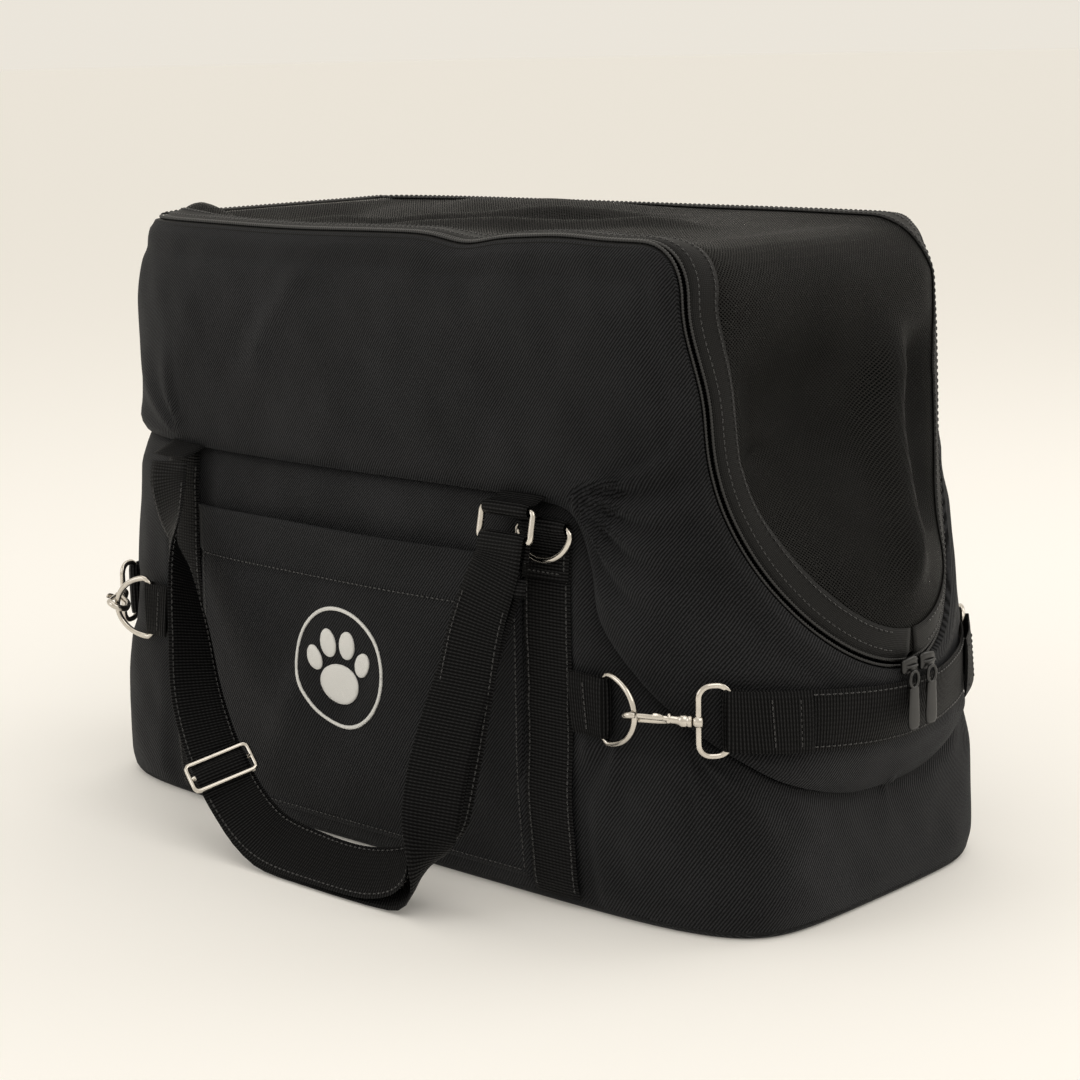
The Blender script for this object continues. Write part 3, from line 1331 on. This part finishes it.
def looped_band(ways, bar_way, sense, return_length):
    """Columns of a strip on the skin that wraps a bar at its end and comes back on top of itself."""
    inner = SKIN_GAP + BELT_LIFT + WEB_THICK / 2
    loop = RING_OUT - SKIN_GAP - WEB_THICK / 2
    bar, n, forward, reach = bar_place(bar_way)
    columns = [belt_column(way, inner) for way in ways if abs(way - bar_way) * PERIMETER >= 0.004]
    body_columns = len(columns)
    for angle in np.radians((-90, -60, -30, 0, 30, 60, 90)):
        middle = bar + forward * sense * loop * math.cos(angle) + n * loop * math.sin(angle)
        columns.append(np.array([[middle[0], middle[1], BELT_Z + h] for h in WEB_ACROSS]))
    outer = inner + WEB_THICK + SKIN_GAP
    steps = max(3, int(return_length / 0.006))
    for t in np.linspace(0, 1, steps):
        back = 0.010 + (return_length - 0.010) * t
        rest = reach * (1 - t) + 0.0006
        columns.append(belt_column(bar_way - sense * back / PERIMETER, outer + rest))
    return columns, body_columns


def solve_linkage(start_x, sense):
    """Where the belt's end ring sits so that ring, hook and D-ring reach each other round the corner."""
    bar_a = bar_place(side_way(start_x, BELT_Z))[0]
    low, high = 0.045, 0.090
    for _ in range(40):
        reach = (low + high) / 2
        way = belt_way(start_x, sense * reach)
        bar_b, n, forward, _ = bar_place(way)
        back = -sense * forward
        ring_axis = math.cos(RING_TILT) * back + math.sin(RING_TILT) * n
        hook_axis = math.cos(HOOK_TURN) * back + math.sin(HOOK_TURN) * n
        bow = bar_b + ring_axis * SWIVEL_RING_DEPTH
        catch = bow + hook_axis * (HOOK_START + HOOK_CATCH)
        if np.linalg.norm(catch - bar_a) < BELT_RING_DEPTH:
            low = reach
        else:
            high = reach
    return {"a": bar_a, "b": bar_b, "way_b": way, "ring_axis": ring_axis, "hook_axis": hook_axis, "bow": bow,
            "catch": catch, "n": n}


def frame_matrix(origin, along, side):
    """A placement whose X lies along one direction and whose Y leans to another."""
    x = Vector(along).normalized()
    z = x.cross(Vector(side)).normalized()
    y = z.cross(x)
    matrix = Matrix((x, y, z)).transposed().to_4x4()
    matrix.translation = Vector(origin)
    return matrix


def placed(points, matrix):
    """Local points moved into the frame of the matrix."""
    grid = np.asarray(points, float)
    rotation = np.array(matrix.to_3x3())
    return grid @ rotation.T + np.array(matrix.translation)


def d_points(depth, steps=28):
    """Centre line of a D-ring: a bar on the Y axis with eased corners and its bow towards +X."""
    bar = [(0, y, 0) for y in np.linspace(-RING_HALF + 0.0022, RING_HALF - 0.0022, 9)]
    bow = []
    for angle in np.linspace(0.06, math.pi - 0.06, steps):
        bow.append((0.002 + (depth - 0.002) * math.sin(angle), RING_HALF * math.cos(angle), 0))
    return softened(bar + bow, 1)


def corner_arcs(corners, r, steps):
    """Quarter arcs of radius r, from each one's centre and first angle in degrees."""
    return [
        (cx + r * math.cos(angle), cy + r * math.sin(angle), 0)
        for cx, cy, first in corners for angle in np.radians(np.linspace(first, first + 90, steps))
    ]


def oblong_points(depth, steps=9):
    """Centre line of a rounded oblong loop: bar on the Y axis, opposite side at depth."""
    r = min(0.0062, depth / 2 - 0.0002)
    half = RING_HALF - 0.0002
    low, high = -half + r, half - r
    points = corner_arcs(((r, low, 180), (depth - r, low, 270), (depth - r, high, 0), (r, high, 90)), r,
                         steps)
    return resampled(np.array(points + points[:1]), 0.0011)[:-1]


def lathe(name, profile, matrix, material, turns=24, flatten=1.0):
    """A turned piece: (distance along X, radius) pairs spun round the X axis."""
    angle = circle(turns)
    rows = []
    for x, r in profile:
        rows.append(np.stack([np.full(turns, x), r * np.cos(angle), flatten * r * np.sin(angle)], -1))
    rows = placed(rows, matrix)
    uvs = grid_uvs(angle * 0.003, np.array([x for x, _ in profile]))
    return loft(name, rows, uvs, material, None)


def flat_wire(name, line, matrix, material, steps=5, sides=14):
    """A cast arm in its own plane: (x, y, half width in the plane, half thickness) in millimetres."""
    line = smooth_line(np.array(line, float), steps) / 1000
    middle = np.stack([line[:, 0], line[:, 1], 0 * line[:, 0]], -1)
    tangent = unit(np.gradient(middle, axis=0))
    side = np.cross([0, 0, 1.0], tangent)
    angle = circle(sides)
    rows = (middle[:, None] + side[:, None] * (np.cos(angle)[None] * line[:, 2:3])[..., None]
            + np.array([0, 0, 1.0]) * (np.sin(angle)[None] * line[:, 3:4])[..., None])
    rows = placed(rows, matrix)
    uvs = grid_uvs(angle * 0.002, travel_of(middle))
    return loft(name, rows, uvs, material, None)


# Along the hook, sideways, half width, half thickness (mm).
HOOK_ARM = (
    (6.4, 0, 2.9, 2.6), (8.0, -0.1, 2.8, 2.3), (10.0, -1.3, 2.5, 2.1), (13.0, -3.2, 2.1, 1.95),
    (17.0, -4.9, 1.9, 1.85),
    (22.0, -5.35, 1.8, 1.8), (28.0, -5.25, 1.8, 1.8), (31.0, -4.4, 1.8, 1.8), (33.1, -2.3, 1.8, 1.8),
    (33.7, 0, 1.8, 1.8),
    (33.1, 2.4, 1.8, 1.8), (31.0, 4.5, 1.7, 1.75), (28.8, 5.2, 1.5, 1.6), (27.3, 5.35, 1.1, 1.3),
)
# The gate from its hinge pin: a slim arm that meets the hook's tip, in the same units.
GATE_ARM = ((-0.6, 0.2, 1.0, 1.2), (1.5, 0.9, 1.5, 1.5), (4.5, 1.5, 1.45, 1.5), (8.0, 2.0, 1.25, 1.4),
            (11.5, 2.5, 1.15, 1.35),
            (14.6, 2.75, 1.0, 1.2))
GATE_THUMB = ((2.2, 1.9, 0.7, 1.3), (3.2, 3.0, 0.75, 1.5), (4.8, 4.3, 0.6, 1.6), (6.4, 5.1, 0.4, 1.3))


# The hook's barrel and the eye it turns in, as (distance along, radius) in metres.
HOOK_BARREL = (
    (0.0000, 0.0018), (0.0002, 0.0029), (0.0008, 0.0033), (0.0020, 0.0034), (0.0023, 0.0030),
    (0.0029, 0.0030),
    (0.0032, 0.0034), (0.0052, 0.0034), (0.0060, 0.0031), (0.0070, 0.0026), (0.0080, 0.0020),
)
SWIVEL_EYE = (
    (-0.0026, 0.0012), (-0.0025, 0.0022), (-0.0020, 0.0028), (-0.0006, 0.0031), (0.0010, 0.0031),
    (0.0020, 0.0027),
    (0.0024, 0.0016),
)
HOOK_CHEEK = ((7.0, 0.6, 2.2, 2.1), (9.5, 1.6, 1.9, 2.2), (11.6, 2.3, 1.6, 2.0), (13.0, 2.2, 0.9, 1.5))
HOOK_ROLL = math.radians(25)
GATE_PIN = (0.0115, 0.0027, 0)


def tack(name, tail, k, outwards):
    """A row of stitches across row k of a strip, on its outer side."""
    row = tail[k]
    normal = unit(np.cross(tail[k + 1, 1] - tail[k - 1, 1], row[2] - row[0]))
    normal = normal * np.sign(normal @ outwards)
    share = np.linspace(0.06, 0.94, 12)[:, None]
    line = row[0] + (row[2] - row[0]) * share + normal * (WEB_THICK / 2 + 0.0002)
    return stitches(name, line, normal, None, pitch=TACK_PITCH, length=TACK_LENGTH)


def make_linkages():
    """Tabs, D-rings, hooks, gates and belts at both ends and on both sides."""
    for end, sense in (("front", 1), ("rear", -1)):
        link = solve_linkage(TAB_END_X[end], sense)
        edge_x = BAND_X[end] + sense * (WEB_WIDTH / 2 + 0.0020)
        bar_way = side_way(TAB_END_X[end], BELT_Z)
        ways = np.linspace(side_way(edge_x, BELT_Z), bar_way, 5)
        tab, _ = looped_band(ways, bar_way, sense, abs(TAB_END_X[end] - edge_x))
        middle = 0.5 if sense > 0 else 0.0
        columns, on_skin = looped_band(np.linspace(middle, link["way_b"], 26), link["way_b"], -sense, 0.034)
        belt = np.array(columns)
        whole = np.concatenate([belt[:0:-1], belt * [1, -1, 1]])
        band, fine, normal, _ = ribbon("belt", whole, WEBBING, None, steps=3)
        normal = oriented(normal, outward_guess(fine))
        parts = [band]
        centre_row = (len(belt) - 1) * 3
        span = int((on_skin - 4) * 3)
        run = slice(centre_row - span, centre_row + span)
        parts += edge_stitches("belt_stitch", fine[run], normal[run], None)
        for side in (1, -1):
            flip = np.array([1, side, 1])
            tail = np.array(columns[-5:]) * flip
            parts += [tack("belt_tack", tail, k, link["n"] * flip) for k in (1, 3)]
        web = joined(f"belt_{end}_web", parts, "bag")
        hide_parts(f"belt_{end}")
        for side, name in SIDES:
            flip = np.array([1, side, 1])
            label = f"{end}_{name}"
            rows = np.array(tab) * flip
            band = ribbon("tab", rows, WEBBING, None, steps=3)[0]
            tail = rows[-4:]
            parts = [band, tack("tab_tack", tail, 1, outward_guess(tail)[1])]
            web = joined(f"belt_tab_{label}_web", parts, "bag")
            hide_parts(f"belt_tab_{label}")

            toward = (link["catch"] - link["a"]) * flip
            matrix = frame_matrix(link["a"] * flip, toward, (0, 0, 1))
            ring = wire(f"d_ring_{label}", placed(d_points(BELT_RING_DEPTH), matrix), WIRE, NICKEL,
                        f"belt_d_ring_{label}", closed=True,
                        hint=matrix.col[2][:3])
            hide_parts(f"belt_d_ring_{label}")

            ring_axis, hook_axis = link["ring_axis"] * flip, link["hook_axis"] * flip
            upright = (0, 0, 1) if np.cross(ring_axis, hook_axis)[2] > 0 else (0, 0, -1)
            matrix = frame_matrix(link["b"] * flip, ring_axis, upright)
            parts = [wire("loop", placed(oblong_points(SWIVEL_RING_DEPTH), matrix), WIRE, NICKEL, None,
                          closed=True, hint=matrix.col[2][:3])]
            eye = frame_matrix(link["bow"] * flip, hook_axis, (0, 0, 1))
            parts.append(lathe("eye", SWIVEL_EYE, eye, NICKEL))
            swivel = joined(f"swivel_ring_{label}", parts, f"belt_ring_{label}")
            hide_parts(f"belt_ring_{label}")

            n = np.cross((0, 0, 1), hook_axis)
            n *= np.sign(np.dot(n, link["n"] * flip))
            sideways = math.cos(HOOK_ROLL) * n + math.sin(HOOK_ROLL) * UPWARDS
            turn = frame_matrix(link["bow"] * flip + hook_axis * HOOK_START, hook_axis, sideways)
            pin = [placed([(0.0112, 0.0029, z)], turn)[0] for z in (-0.0024, -0.0022, 0.0022, 0.0024)]
            parts = [lathe("barrel", HOOK_BARREL, turn, NICKEL), flat_wire("arm", HOOK_ARM, turn, NICKEL)]
            parts.append(flat_wire("cheek", HOOK_CHEEK, turn, NICKEL))
            parts.append(wire("pin", pin, 0.0011, NICKEL, None, sides=12, hint=hook_axis,
                              radii=(0.0006, 0.0011, 0.0011, 0.0006)))
            hook = joined(f"hook_{label}", parts, f"snap_hook_{label}")
            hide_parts(f"snap_hook_{label}")

            pivot = turn @ Matrix.Translation(GATE_PIN)
            parts = [flat_wire("gate", GATE_ARM, pivot, NICKEL),
                     flat_wire("thumb", GATE_THUMB, pivot, NICKEL)]
            gate = joined(f"gate_{label}", parts, f"hook_gate_{label}")
            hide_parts(f"hook_gate_{label}")


def outward_guess(rows):
    """Roughly outward directions for rows of points round the body."""
    middle = rows[:, 1]
    guess = middle * [0.35, 1.0, 0.0]
    guess[:, 0] = np.where(np.abs(middle[:, 0]) > 0.2, np.sign(middle[:, 0]) * 0.6,
                           0.02 * np.sign(middle[:, 0]))
    guess[:, 1] = np.sign(middle[:, 1]) * np.clip(np.abs(middle[:, 1]) / 0.11, 0, 1) ** 4
    return unit(guess)


def make_strap_d_rings():
    """The shoulder strap's D-rings, in the tops of the front bands."""
    bar = proud(side_way(BAND_X["front"], BAND_TOP_BAR_Z), BAND_TOP_BAR_Z, RING_OUT)
    for side, name in SIDES:
        matrix = frame_matrix(bar * [1, side, 1], (0, -0.14 * side, -0.99), (side, 0, 0))
        ring = wire(f"shoulder_d_ring_{name}", placed(d_points(STRAP_D_DEPTH), matrix), WIRE, NICKEL,
                    f"strap_d_ring_{name}", closed=True,
                    hint=matrix.col[2][:3])
        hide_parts(f"strap_d_ring_{name}")


# ---------------------------------------------------------------- pocket and badge

def pocket_point(x, z, out=0.0):
    """A point on the pocket panel's middle surface: it follows the body and gapes at its top."""
    rise = (z - POCKET_Z[0]) / (POCKET_Z[1] - POCKET_Z[0])
    across = 2 * (x - POCKET_X[0]) / (POCKET_X[1] - POCKET_X[0]) - 1
    side = max(0.0, 1 - across ** 4)
    gape = POCKET_GAPE * side * min(1, 2.5 * rise)
    puff = 0.0016 * side * math.sin(math.pi * min(1, rise * 1.1)) * math.sin(1.7 + across * 2.2)
    swell = side * math.sin(math.pi * min(1, rise / 0.85))
    slant = (rise - 0.5) * 0.9
    puff += 0.0022 * swell * math.exp(-(((across + 0.25 - slant) / 0.10) ** 2))
    puff -= 0.0016 * swell * math.exp(-(((across - 0.05 - slant) / 0.12) ** 2))
    puff += 0.0022 * side * rise ** 6 * math.sin(across * 4.6 + 0.6)
    way = side_way(x, z)
    return proud(way, z, SKIN_GAP + POCKET_THICK / 2 + gape + puff + 0.0007 + out)


def make_pocket():
    """The pocket's cloth with its hem, and the stitching round it."""
    xs = POCKET_X[0] + (POCKET_X[1] - POCKET_X[0]) * np.linspace(0, 1, 61)
    zs = POCKET_Z[0] + (POCKET_Z[1] - POCKET_Z[0]) * np.linspace(0, 1, 49)
    grid = np.array([[pocket_point(x, z) for x in xs] for z in zs])
    normal = unit(np.cross(np.gradient(grid, axis=1), np.gradient(grid, axis=0)))
    hem_z = POCKET_Z[1] - POCKET_HEM
    height = zs[:, None]
    hem = 0.0006 * smoothstep((height - hem_z) / 0.0015) - 0.0008 * bell(height - hem_z, 0.0016)
    roll = 0.0006 * bell(height - POCKET_Z[1], 0.002)
    front = grid + normal * (POCKET_THICK / 2 + hem[..., None] + roll[..., None])
    back = grid - normal * (POCKET_THICK / 2 + 0.4 * roll[..., None])
    panel = loft("pocket_cloth", two_faced(front, back), grid_uvs(there_and_back(xs), zs), TWILL, None)
    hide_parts("pocket_panel")
    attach(panel, "bag")

    def sewn(name, points):
        line = np.array([pocket_point(x, z, POCKET_THICK / 2 + 0.0003) for x, z in points])
        return stitches(name, line, np.array([0, -1.0, 0]), None)

    inset = 0.0030
    left, right = POCKET_X[0] + inset, POCKET_X[1] - inset
    parts = [
        sewn("hem", [(x, hem_z + 0.0004) for x in np.linspace(left, right, 60)]),
        sewn("left", [(left, z) for z in np.linspace(POCKET_Z[0] + inset, POCKET_Z[1] - 0.002, 40)]),
        sewn("right", [(right, z) for z in np.linspace(POCKET_Z[0] + inset, POCKET_Z[1] - 0.002, 40)]),
        sewn("foot", [(x, POCKET_Z[0] + inset) for x in np.linspace(left, right, 60)]),
    ]
    seams = joined("pocket_stitching", parts, "bag")


def make_badge():
    """An embroidered paw print in a plain ring, sewn on the pocket: satin threads with padded edges."""
    ex, ez = EMBLEM_XZ

    def at(u, v, out):
        return pocket_point(ex + u, ez + v, POCKET_THICK / 2 + out)

    def pad(name, cu, cv, au, av, turn):
        rows, uvs = [], []
        c, s = math.cos(turn), math.sin(turn)
        angles = circle(40)
        for share, rise in ((1.0, 0.0001), (0.99, 0.0007), (0.85, 0.0011), (0.55, 0.0013), (0.2, 0.0014),
                            (0.02, 0.0014)):
            row, uv = [], []
            for a in angles:
                u, v = au * share * math.cos(a), av * share * math.sin(a)
                row.append(at(cu + u * c - v * s, cv + u * s + v * c, rise))
                uv.append((v, u))
            rows.append(row)
            uvs.append(uv)
        return loft(name, rows, uvs, WHITE_THREAD, None)

    mm = 0.001
    paw = 1.45 * mm
    parts = [pad("heel", 0, -6.2 * paw, 9.6 * paw, 7.6 * paw, 0)]
    for u, v, au, av, turn in ((-11.8, 2.6, 3.5, 4.9, 0.45), (-4.6, 9.0, 3.7, 5.4, 0.14),
                               (4.6, 9.0, 3.7, 5.4, -0.14), (11.8, 2.6, 3.5, 4.9, -0.45)):
        parts.append(pad("toe", u * paw, v * paw, au * paw, av * paw, turn))
    ring_rows, ring_uvs = [], []
    for k in range(160):
        a = 2 * math.pi * k / 160
        row, uv = [], []
        for r, rise in ((31.2, 0.0002), (31.5, 0.0008), (32.3, 0.0012), (33.1, 0.0008), (33.4, 0.0002)):
            row.append(at(r * mm * math.cos(a), r * mm * math.sin(a), rise))
            uv.append((a * 0.032, (r - 31) * mm))
        ring_rows.append(row)
        ring_uvs.append(uv)
    parts.append(loft("ring", ring_rows, ring_uvs, WHITE_THREAD, None, loop=True))
    badge = joined("paw_badge", parts, "bag")
    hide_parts("embroidered_badge")


# ---------------------------------------------------------------- carry straps

def strap_point(x, down):
    """A point of the near strap's leaning plane, from x and the distance below the hinge line."""
    return np.array([x, STRAP_AXIS[0] - math.sin(STRAP_LEAN) * down,
                     STRAP_AXIS[1] - math.cos(STRAP_LEAN) * down])


def strap_route(steps):
    """Middle line, width direction and tangent of the near strap, from its rear end to its ring."""
    flat = smooth_line([point for point, _ in STRAP_ROUTE], steps) / 1000
    middle = np.array([strap_point(x, down) for x, down in flat])
    width = smooth_line([direction for _, direction in STRAP_ROUTE], steps)
    tangent = unit(np.gradient(middle, axis=0))
    return middle, unit(width - tangent * (width * tangent).sum(1, keepdims=True)), tangent


def above_floor(rows, least):
    """The strap's points lifted softly to where it would rest on the floor."""
    rows = np.array(rows)
    spare = rows[:, :, 2] - least
    rows[:, :, 2] = least + (spare + np.sqrt(spare ** 2 + 0.0015 ** 2)) / 2
    return rows


def make_straps():
    """Both carry straps: the strap, the layer behind it, its slide, its ring and its two tabs."""
    steps = 8
    middle, width, tangent = strap_route(steps)
    rows = [web_row(m, w) for m, w in zip(middle, width)]
    plane_out = np.array([0, -math.cos(STRAP_LEAN), math.sin(STRAP_LEAN)])
    down = np.array([0, -math.sin(STRAP_LEAN), -math.cos(STRAP_LEAN)])
    ring_bar = strap_point(STRAP_RING_X, STRAP_RING[1])
    loop = STRAP_WIRE + 2 * SKIN_GAP + WEB_THICK / 2
    spots = [ring_bar + plane_out * loop + down * 0.006, ring_bar + plane_out * loop]
    for angle in np.radians((30, 60, 90, 120, 150, 180)):
        spots.append(ring_bar + plane_out * loop * math.cos(angle) - down * loop * math.sin(angle))
    spots.append(ring_bar - plane_out * loop + down * 0.010)
    for m in spots:
        rows.append(web_row(m, -FORWARDS))
    face = np.cross(tangent, width)
    index = GLIDE_ROUTE_POINT * steps
    turned = np.sign(face[index, 2])
    face = face * turned
    # The second layer: from the ring's loop back along the strap to the slide, behind and a little beside it.
    second = []
    last = len(middle) - 1
    order = list(range(last - 2, index - 3, -3))
    for m in (ring_bar - plane_out * loop + down * 0.018, ring_bar - plane_out * (loop + 0.0002)
              + down * 0.027):
        second.append(web_row(m, -FORWARDS))
    for k in order:
        share = (last - k) / (last - index)
        rest = smoothstep(np.array(share * 5))
        gap = 0.0026 + 0.0042 * math.sin(math.pi * share) ** 2
        beside = 0.0060 * math.sin(math.pi * min(1, share * 1.05)) * rest
        m = middle[k] - face[k] * gap + width[k] * beside
        if k > last - 24:
            t = smoothstep(np.array((last - k) / 24))
            m = (1 - t) * (middle[k] - plane_out * 2 * loop) + t * m
        second.append(web_row(m, width[k]))
    rows, second = above_floor(rows, 0.0034), above_floor(second, 0.0012)
    glide_at = middle[index] + face[index] * (WEB_THICK / 2 + GLIDE_SIZE[2] / 2 + GLIDE_STANDOFF)
    for side, name in SIDES:
        flip = np.array([1, side, 1])
        near = rows * flip
        band, fine, normal, _ = ribbon("strap", near, WEBBING, None, steps=2)
        parts = [band]
        parts += edge_stitches("strap_stitch", fine[:2 * last], normal[:2 * last], None, start=0.012,
                               end=0.012)
        parts += edge_stitches("strap_stitch_low", fine[:2 * last], -normal[:2 * last], None, start=0.012,
                               end=0.012)
        parts.append(ribbon("strap_back", second * flip, WEBBING, None, steps=2)[0])
        # The end that threads over the slide's middle bar.
        around = []
        for s, lift in ((-0.0125, 0.0022), (-0.0085, 0.0024), (-0.0060, 0.0034), (-0.0030, 0.0052),
                        (0, 0.0057), (0.0030, 0.0052), (0.0060, 0.0034),
                        (0.0085, 0.0022), (0.0125, 0.0018)):
            m = middle[index] + tangent[index] * s + face[index] * (lift - 0.0008)
            around.append(web_row(m, width[index]))
        parts.append(ribbon("strap_thread", np.array(around) * flip, WEBBING, None, steps=3)[0])
        strap = joined(f"strap_web_{name}", parts, f"carry_strap_{name}")
        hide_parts(f"carry_strap_{name}")
        make_glide(name, glide_at * flip, width[index] * flip, tangent[index] * flip)
        make_strap_ring(name, strap_point(STRAP_RING_X, 0) * flip, down * flip)
        make_strap_tabs(name, flip)


def make_glide(name, at, width, along):
    """A flat slide: a rounded rectangular wire with a middle bar."""
    matrix = frame_matrix(at, width, along)
    half, deep, r = GLIDE_SIZE[0] / 2 - 0.0013, GLIDE_SIZE[1] / 2 - 0.0013, 0.0022
    right, top = half - r, deep - r
    outline = corner_arcs(((right, top, 0), (-right, top, 90), (-right, -top, 180), (right, -top, 270)), r, 6)
    outline = resampled(np.array(outline + outline[:1]), 0.0018)[:-1]
    parts = [wire("frame", placed(outline, matrix), 0.00135, NICKEL, None, closed=True,
                  hint=matrix.col[2][:3])]
    bar = [(x, 0, 0) for x in np.linspace(-half, half, 9)]
    parts.append(wire("bar", placed(bar, matrix), 0.00125, NICKEL, None, hint=matrix.col[2][:3]))
    glide = joined(f"slide_{name}", parts, f"carry_strap_{name}")
    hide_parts(f"strap_tri_glide_{name}")


def make_strap_ring(name, at, down):
    """A rectangular ring whose top bar is on the strap's hinge line."""
    half, depth, r = STRAP_RING[0] / 2, STRAP_RING[1], 0.0018
    right, low = half - r, depth - r
    line = corner_arcs(((right, low, 0), (-right, low, 90), (-right, r, 180), (right, r, 270)), r, 7)
    matrix = frame_matrix(at, (1, 0, 0), down)
    outline = resampled(np.array(line + line[:1]), 0.0016)[:-1]
    ring = wire(f"rectangular_ring_{name}", placed(outline, matrix), STRAP_WIRE, NICKEL,
                f"carry_strap_{name}", closed=True, hint=matrix.col[2][:3])
    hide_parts(f"strap_ring_{name}")


def make_strap_tabs(name, flip):
    """The webbing stubs sewn in the seam: one wraps the strap's ring, the other holds its rear end."""
    loop = STRAP_WIRE + 2 * SKIN_GAP + WEB_THICK / 2
    y, z = STRAP_AXIS
    start = skin(side_way(STRAP_RING_X, z), z)[1] - 0.0006 - WEB_THICK / 2
    profile = [(start + 0.0030, z + loop + 0.0060), (start, z + loop + 0.0030), (y + 0.004, z + loop)]
    for angle in np.radians((90, 120, 150, 180, 210, 240, 270)):
        profile.append((y + loop * math.cos(angle), z + loop * math.sin(angle)))
    profile += [(y + 0.004, z - loop), (start - 0.0016, z - loop + 0.0006)]
    rows = [web_row(np.array([STRAP_RING_X, *point]), FORWARDS) for point in profile]
    band = ribbon("tab", np.array(rows) * flip, WEBBING, None)[0]
    web = joined(f"strap_tab_front_{name}_web", [band], "bag")
    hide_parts(f"strap_tab_front_{name}")
    start = skin(side_way(STRAP_REAR_X, z), z)[1] - 0.0006 - WEB_THICK / 2
    profile = [(start + 0.003, z + 0.0080), (start, z + 0.0060), (y + 0.005, z + 0.0030), (y, z + 0.0014)]
    rows = [web_row(np.array([STRAP_REAR_X, *point]), FORWARDS) for point in profile]
    band = ribbon("tab", np.array(rows) * flip, WEBBING, None)[0]
    web = joined(f"strap_tab_rear_{name}_web", [band], "bag")
    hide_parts(f"strap_tab_rear_{name}")


# ---------------------------------------------------------------- inside

def make_inserts():
    """A stiff base board with a rounded edge, and a crowned cushion with a sewn edge on it."""
    ways = np.arange(120) / 120
    foot = skin(ways, np.full(120, 0.03))
    step = unit(outward(ways, np.full(120, 0.03)) * [1, 1, 0])
    floor = WALL + 0.0004

    def rings(profile, material, name, body, wave=0.0):
        rows, uvs = [], []
        for inset, rise in profile:
            ring = foot - inset * step
            ring[:, 2] = floor + rise + wave * np.sin(ring[:, 0] * 55) * np.sin(ring[:, 1] * 70 + 1)
            rows.append(ring)
            uvs.append(ring[:, :2])
        return loft(name, rows, uvs, material, body)

    board = rings(((0.0200, 0.0), (0.0190, 0.0007), (0.0190, 0.0024), (0.0200, 0.0030)), BOARD,
                  "base_board_sheet", "bag")
    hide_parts("base_board")
    outline = ((0.034, 0.0040), (0.025, 0.0058), (0.0215, 0.0100), (0.0200, 0.0158), (0.0190, 0.0166),
               (0.0190, 0.0176), (0.0200, 0.0184),
               (0.0225, 0.0250), (0.030, 0.0300), (0.040, 0.0325), (0.060, 0.0345), (0.080, 0.0352))
    cushion = rings(outline, CUSHION_TWILL, "cushion_pad", "cushion")
    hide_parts("cushion")


# ---------------------------------------------------------------- stage

FLOOR_COLOUR = (0.855, 0.845, 0.825, 1)
STUDIO_COLOUR = (0.83, 0.785, 0.705, 1)
# Name, place, size, power and colour of each area light.
LIGHTS = (
    ("key", (1.25, -0.55, 1.75), 1.3, 6.5, (1.0, 0.97, 0.93)),
    ("top", (-0.35, 0.15, 1.9), 1.5, 4, (1.0, 0.98, 0.96)),
    ("side", (-1.1, -1.9, 1.1), 1.2, 5, (0.95, 0.97, 1.0)),
    ("rim", (0.9, 1.4, 1.3), 1.0, 5, (1.0, 0.97, 0.94)),
)
LIGHT_TARGET = (0, 0, 0.15)
# The camera's azimuth, elevation and roll in degrees, its place in metres and its lens in millimetres.
CAMERA_ANGLES = (42.93, 11.30, -1.19)
CAMERA_PLACE = (0.93217, -0.98383, 0.42504)
CAMERA_LENS = 81.87


def make_stage():
    """A pale seamless floor and backdrop, soft area lights and the camera."""
    backdrop = bpy.data.materials.new("backdrop")
    backdrop.use_nodes = True
    shader = backdrop.node_tree.nodes["Principled BSDF"]
    shader.inputs["Base Color"].default_value = FLOOR_COLOUR
    shader.inputs["Emission Color"].default_value = STUDIO_COLOUR
    shader.inputs["Emission Strength"].default_value = 0.14
    shader.inputs["Roughness"].default_value = 0.9
    shader.inputs["Specular IOR Level"].default_value = 0.1
    mesh = bpy.data.meshes.new("floor")
    mesh.from_pydata([(-90, -90, 0), (90, -90, 0), (90, 90, 0), (-90, 90, 0)], [], [(0, 1, 2, 3)])
    floor = bpy.data.objects.new("floor", mesh)
    floor.data.materials.append(backdrop)
    bpy.context.scene.collection.objects.link(floor)

    world = bpy.data.worlds.new("studio")
    bpy.context.scene.world = world
    world.use_nodes = True
    world.node_tree.nodes["Background"].inputs["Color"].default_value = STUDIO_COLOUR
    world.node_tree.nodes["Background"].inputs["Strength"].default_value = 1.0

    for name, place, size, power, colour in LIGHTS:
        data = bpy.data.lights.new(name, "AREA")
        data.size = size
        data.energy = power
        data.color = colour
        lamp = bpy.data.objects.new(name, data)
        lamp.location = place
        lamp.rotation_euler = (Vector(LIGHT_TARGET) - Vector(place)).to_track_quat("-Z", "Y").to_euler()
        bpy.context.scene.collection.objects.link(lamp)

    bpy.context.scene.view_settings.view_transform = "Standard"
    data = bpy.data.cameras.new("camera")
    data.sensor_width = 36
    data.lens = CAMERA_LENS
    camera = bpy.data.objects.new("camera", data)
    azimuth, elevation, roll = (math.radians(a) for a in CAMERA_ANGLES)
    level = math.cos(elevation)
    back = Vector((math.sin(azimuth) * level, -math.cos(azimuth) * level, math.sin(elevation)))
    right = Vector((math.cos(azimuth), math.sin(azimuth), 0))
    up = back.cross(right)
    turned = (right * math.cos(roll) + up * math.sin(roll), up * math.cos(roll) - right * math.sin(roll),
              back)
    matrix = Matrix(turned).transposed().to_4x4()
    matrix.translation = Vector(CAMERA_PLACE)
    camera.matrix_world = matrix
    bpy.context.scene.collection.objects.link(camera)
    bpy.context.scene.camera = camera


make_upper_body()
make_lower_body()
make_cover()
make_sliders()
make_bands()
make_linkages()
make_strap_d_rings()
make_pocket()
make_badge()
make_straps()
make_inserts()
make_stage()
